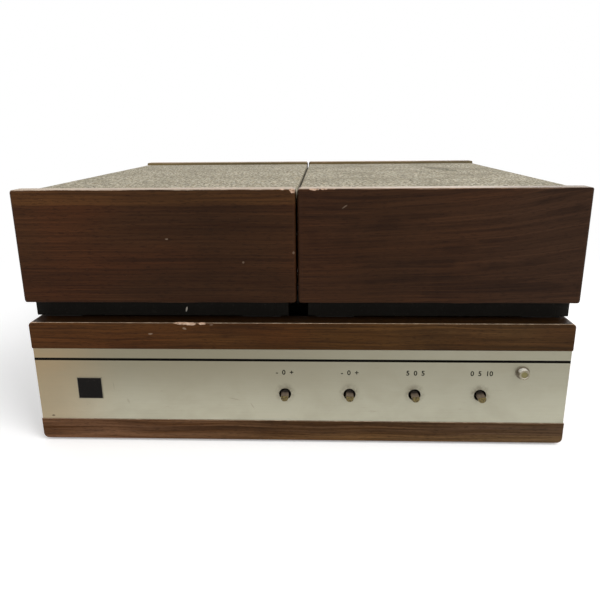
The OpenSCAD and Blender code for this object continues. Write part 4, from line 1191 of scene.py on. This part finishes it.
def keys():
    for name, outlines in KEY_SIGNS.items():
        node = name + "_key"
        dress(node, RED if name == "record" else IVORY, KEY_EASE, 3)
        low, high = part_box(node)
        spot = Vector(((low.x + high.x) / 2, high.y - SIGN_BACK * MM, high.z))
        bm = bmesh.new()
        for outline in outlines:
            add_prism(bm, outline, placed(spot), SIGN_DEPTH, SIGN_EASE)
        piece(name + "_sign", bm, WHITE_PRINT if name == "record" else PRINT, node, "black_plastic")


def knob(node, flutes):
    """A fluted knob with a spun metal cap and a white pointer, in the place of its CAD node."""
    low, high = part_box(node)
    radius = (high.x - low.x) / 2 / MM
    centre = Vector(((low.x + high.x) / 2, (low.y + high.y) / 2, 0))
    foot, base, top = low.z / MM, deck_z / MM + KNOB_LIFT, high.z / MM
    grip = ((0, foot), (KNOB_SHAFT, foot), (KNOB_SHAFT, base), (radius - 0.6, base), (radius, base + 0.6),
            (radius, base + 2.2), (radius - 0.3, base + 2.8, FLUTE_DEPTH),
            (radius - 1.0, top - 1.6, FLUTE_DEPTH), (radius - 1.3, top - 0.9, 0.3),
            (radius - 2.0, top - 0.35), (radius - 3.4, top - 0.35), (radius - 3.5, top - 0.9),
            (0, top - 0.9))
    cap = ((radius - 3.6, top - 0.9), (radius - 3.6, top - 0.5), (radius - 4.0, top - 0.3),
           (radius * 0.5, top - 0.2), (0, top - 0.2))
    pointer = (centre + at(-0.5, radius * 0.55, top - 0.3), centre + at(0.5, radius - 1.6, top - 0.02))
    place = placed(centre)
    turned_piece(node + "_grip", grip, place, flutes * 6, BLACK_PLASTIC, node, "black_plastic", node,
                 flutes=flutes)
    turned_piece(node + "_cap", cap, place, 64, KNOB_CAP, node, "panel_aluminium")
    box_piece(node + "_pointer", [pointer], 0.1, WHITE_PRINT, node, "key_ivory")


def knob_scales():
    """Printed ticks and figures on the deck round the two knobs."""
    bm = bmesh.new()
    for node, tick_reach, tick_half, figure_reach, scale in KNOB_SCALES:
        centre = middle_of(node)
        centre.z = deck_z
        for degrees, words in scale:
            angle = math.radians(degrees)
            way = Vector((math.sin(angle), math.cos(angle), 0))
            turn = Matrix.Rotation(-angle, 4, "Z")
            add_prism(bm, bar(KNOB_TICK, tick_half), placed(centre + way * tick_reach * MM, turn), INK_DEPTH)
            if words:
                spot = centre + way * figure_reach * MM + at(0, 0, INK_DEPTH / 3)
                add_text(bm, words, KNOB_FIGURE, placed(spot))
    piece("knob_scales", bm, PRINT, "base", "black_plastic")


def meter():
    """Dial card with its scale, and a mask over the needle's pivot."""
    low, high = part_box("meter_window")
    card_z = deck_z + CARD_UP * MM
    pin = Vector((middle_of("level_meter").x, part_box("meter_needle")[0].y + METER_PIN * MM, card_z))
    card = ((low.x, pin.y + CARD_FROM * MM, card_z), (high.x, high.y, card_z + CARD_THICK * MM))
    box_piece("meter_card", [card], 0.03, DIAL_CARD, "base", "key_ivory")
    under, over = (card_z + up * MM for up in MASK_UP)
    mask = ((low.x, low.y, under), (high.x, pin.y + MASK_TO * MM, over))
    box_piece("meter_mask", [mask], 0.2, BLACK_PLASTIC, "base", "black_plastic")
    first, last = METER_SPAN

    def on_card(share, reach, lift):
        """The place at a share of the scale, turned to the pin."""
        angle = math.radians(first + (last - first) * share)
        spot = pin + at(reach * math.cos(angle), reach * math.sin(angle), lift)
        return placed(spot, Matrix.Rotation(angle - math.radians(90), 4, "Z"))

    ink, warn = bmesh.new(), bmesh.new()
    half = math.radians(abs(first - last)) * METER_ARC / METER_STEPS / 2
    for i in range(METER_STEPS):
        share = (i + 0.5) / METER_STEPS
        red = share > METER_RED
        outline = bar(half, RED_HALF if red else ARC_HALF)
        add_prism(warn if red else ink, outline, on_card(share, METER_ARC, CARD_LAP), CARD_INK)
    for i, words in enumerate(METER_FIGURES):
        share = i / (len(METER_FIGURES) - 1)
        add_prism(ink, bar(*METER_TICK), on_card(share, METER_ARC + TICK_OUT, CARD_LAP), CARD_INK)
        add_text(ink, words, METER_FIGURE, on_card(share, METER_ARC - FIGURE_IN, CARD_THICK + INK_DEPTH / 3))
    piece("meter_scale", ink, PRINT, "base", "black_plastic")
    piece("meter_red_scale", warn, NEEDLE_RED, "base", "needle_red")


def counter():
    """Figures bent round the counter's wheels."""
    paint = (BLACK_PLASTIC, WHEEL_WHITE)
    dress_solids("tape_counter", paint, lambda size: int(size.y <= COUNTER_CASE_OVER), 0.25)
    centre = middle_of("tape_counter")
    radius = COUNTER_WHEEL * MM
    axle_z = deck_z + radius + COUNTER_CLEAR * MM
    bm = bmesh.new()
    for i, figure in enumerate(COUNT):
        add_text(bm, figure, COUNTER_FIGURE, Matrix.Translation(at((i - 1) * COUNTER_PITCH, 0, 0)))
    long_edges = [e for e in bm.edges if e.calc_length() > COUNTER_CUT * MM]
    bmesh.ops.subdivide_edges(bm, edges=long_edges, cuts=2)
    for v in bm.verts:
        reach, angle = radius + COUNTER_INK * MM + v.co.z, v.co.y / radius
        y, z = centre.y + reach * math.sin(angle), axle_z + reach * math.cos(angle)
        v.co = Vector((centre.x + v.co.x, y, z))
    piece("counter_figures", bm, PRINT, "base", "black_plastic")


def head_cover_trim():
    """Two bright strips along the front of the head cover."""
    low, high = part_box("head_cover")
    left, right = inset(low.x, high.x, TRIM_EDGE)
    front, back = low.y - TRIM_HALF * MM, low.y + TRIM_HALF * MM
    strips = [((left, front, low.z + foot * MM), (right, back, low.z + top * MM))
              for foot, top in TRIM_STRIPS]
    box_piece("head_cover_trim", strips, 0.15, CHROME, "base", "bright_chrome")


def deck_details():
    """Screws of the deck plate, and a line printed behind the keys."""
    low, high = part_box("deck_plate")
    radius, edge = SCREWS["deck"]
    spots = [*product(inset(low.x, high.x, edge), DECK_ROWS, (deck_z,)),
             *product(DECK_FRONT, (low.y + edge * MM,), (deck_z,))]
    screws("deck_screws", spots, radius, FACE_UP, "base")
    low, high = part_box("key_frame")
    y = high.y + LINE_BACK * MM
    line = ((low.x, y, deck_z - LINE_SUNK * MM), (high.x, y + LINE_WIDE * MM, deck_z + INK_DEPTH * MM))
    box_piece("deck_line", [line], 0.0, PRINT, "base", "black_plastic")


def reels():
    for name in ("supply", "takeup"):
        spot = middle_of(name + "_reel")
        spot.z = 0.0
        dress(name + "_reel", SMOKE, 0.4)
        dress(name + "_tape", wound(name + "_pack", spot), 0.1)
        dress(name + "_reel_table", BLACK_PLASTIC, 0.4)
        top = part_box(name + "_reel_table")[1].z / MM
        profile = [(radius, top + up) for radius, up in CAP_PROFILE]
        turned_piece(name + "_spindle_cap", profile, placed(spot), 40, CHROME, name + "_spool",
                     "bright_chrome")


# Finishes of the CAD nodes that keep their own shape

PLAIN_NODES = {
    HARDBOARD: ("bottom_panel",),
    RUBBER: ("rubber_feet", "drive_belt", "pinch_roller"),
    STEEL: ("control_bracket", "head_block", "pinch_arm", "flywheel"),
    POT_METAL: ("potentiometers",),
    BUSH_CHROME: ("power_switch",),
    CHROME: ("tape_guides",),
    SHAFT_METAL: tuple(control + "_shaft" for control in CONTROLS),
    DECK_METAL: ("deck_plate",),
    HEAD_METAL: ("tape_heads",),
    BLACK_PLASTIC: ("head_cover", "key_frame", "level_meter"),
    BRONZE: ("capstan_bearing", "motor_pulley"),
    MOTOR_CAN: ("drive_motor",),
    GLASS: ("meter_window",),
    NEEDLE_RED: ("meter_needle",),
    TAPE_RUN: ("tape",),
    PANEL_METAL: ("front_panel",),
}
PLAIN_EASE = 0.3
EASES = {"head_cover": 1.2, "key_frame": 0.8, "level_meter": 0.8, "meter_window": 0.15, "tape": 0,
         "meter_needle": 0.1, "deck_plate": 0.2, "rubber_feet": 0.6, "power_switch": 0.25, "drive_belt": 0,
         "front_panel": 0.12}
COIL_OVER = 40
CIRCUIT_OVER, RAIL_OVER, PIN_UNDER, CAPACITOR_OVER = 140, 100, 8, 20


def amplifier_part(size):
    """Which finish a solid of the amplifier has: board, metal, capacitor or transistor."""
    if size.x > CIRCUIT_OVER:
        return 0
    if size.x > RAIL_OVER or size.x < PIN_UNDER:
        return 1
    return 2 if size.z > CAPACITOR_OVER else 3


def plain_nodes():
    for finish, nodes in PLAIN_NODES.items():
        for node in nodes:
            dress(node, finish, EASES.get(node, PLAIN_EASE))
    dress("power_button", BUTTON_CHROME, 0.6, 3)
    dress_solids("mains_transformer", (IRON, COIL), lambda size: int(size.y > COIL_OVER))
    dress_solids("amplifier_board", (BOARD_BROWN, STEEL, CAPACITOR, BLACK_PLASTIC), amplifier_part, 0.2)


# Camera, fitted to the edges of the base and the speakers in the photograph

CAMERA_AT = (19.32, -609.73, 244.86)
CAMERA_LENS = 35.44
CAMERA_SENSOR = 36.0
CAMERA_NEAR = 0.01
CAMERA_PITCH = math.radians(16.18)
CAMERA_YAW = math.radians(-2.31)
CAMERA_ROLL = math.radians(-0.52)


def make_camera():
    camera = bpy.data.objects.new("camera", bpy.data.cameras.new("camera"))
    camera.data.lens = CAMERA_LENS
    camera.data.sensor_width = CAMERA_SENSOR
    camera.data.clip_start = CAMERA_NEAR
    yaw = Matrix.Rotation(-CAMERA_YAW, 4, "Z")
    pitch = Matrix.Rotation(math.radians(90) - CAMERA_PITCH, 4, "X")
    roll = Matrix.Rotation(CAMERA_ROLL, 4, "Z")
    camera.matrix_world = Matrix.Translation(at(*CAMERA_AT)) @ yaw @ pitch @ roll
    SCENE.collection.objects.link(camera)
    SCENE.camera = camera


# Stage and light. A lamp is its name, place, size and power, and all lamps point at one place

WORLD_LIGHT = 0.50
FLOOR_TONE = 0.90
FLOOR_GLOW = 0.30
FLOOR_HALF = 6.0
FLOOR_NEAR, FLOOR_FAR = 0.38, 0.80
LAMPS = (
    ("key_lamp", (1300, -1300, 1700), 1.2, 32),
    ("top_lamp", (100, 200, 1900), 1.6, 4),
    ("fill_lamp", (-1300, -1400, 900), 1.2, 3),
    ("rear_lamp", (900, 1900, 900), 1.4, 9),
)
LAMPS_AIM = (0, 0, 100)


def floor_finish():
    """Pale floor that takes the object's shadow and runs out to plain white further off."""
    f = Finish("pale_floor", roughness=0.9, specular_ior_level=0.0, emission_color=WHITE)
    cloud = f.noise(f.place, 0.4, 2.0)
    shades = [(level, level, level, 1.0) for level in (FLOOR_TONE, FLOOR_TONE * 0.99)]
    seen = f.seen()
    f.set(base_color=f.mix(cloud, *shades), emission_strength=f.times(seen, FLOOR_GLOW))
    white = f.add("Emission", Color=WHITE, Strength=1.0)
    share = f.times(seen, f.fade(f.apart((0, 0, 0), (1, 1, 0)), FLOOR_NEAR, FLOOR_FAR))
    both = f.add("MixShader", share, f.shader.outputs[0], white.outputs[0])
    f.put(f.tree.nodes["Material Output"].inputs["Surface"], both.outputs[0])
    return f.material


def make_stage():
    bm = bmesh.new()
    bmesh.ops.create_grid(bm, x_segments=1, y_segments=1, size=FLOOR_HALF)
    loose("floor", bm, floor_finish())
    world = bpy.data.worlds.new("studio")
    SCENE.world = world
    world.use_nodes = True
    sky = Nodes(world.node_tree)
    back = world.node_tree.nodes["Background"].inputs
    sky.put(back["Color"], WHITE)
    sky.put(back["Strength"], sky.fade(sky.seen(), 0.0, 1.0, WORLD_LIGHT, 1.0))
    for name, place, size, watts in LAMPS:
        lamp = bpy.data.lights.new(name, "AREA")
        lamp.size = size
        lamp.energy = watts
        holder = bpy.data.objects.new(name, lamp)
        holder.location = at(*place)
        holder.rotation_euler = (at(*LAMPS_AIM) - holder.location).to_track_quat("-Z", "Y").to_euler()
        SCENE.collection.objects.link(holder)
    SCENE.view_settings.view_transform = "Standard"


make_camera()
make_stage()
base_boards()
plain_nodes()
groove()
badge()
dial_marks()
button_face()
rear_connections()
under_side()
for side in SIDES:
    speaker(side)
keys()
for node, flutes in KNOB_FLUTES.items():
    knob(node, flutes)
knob_scales()
meter()
counter()
head_cover_trim()
deck_details()
reels()
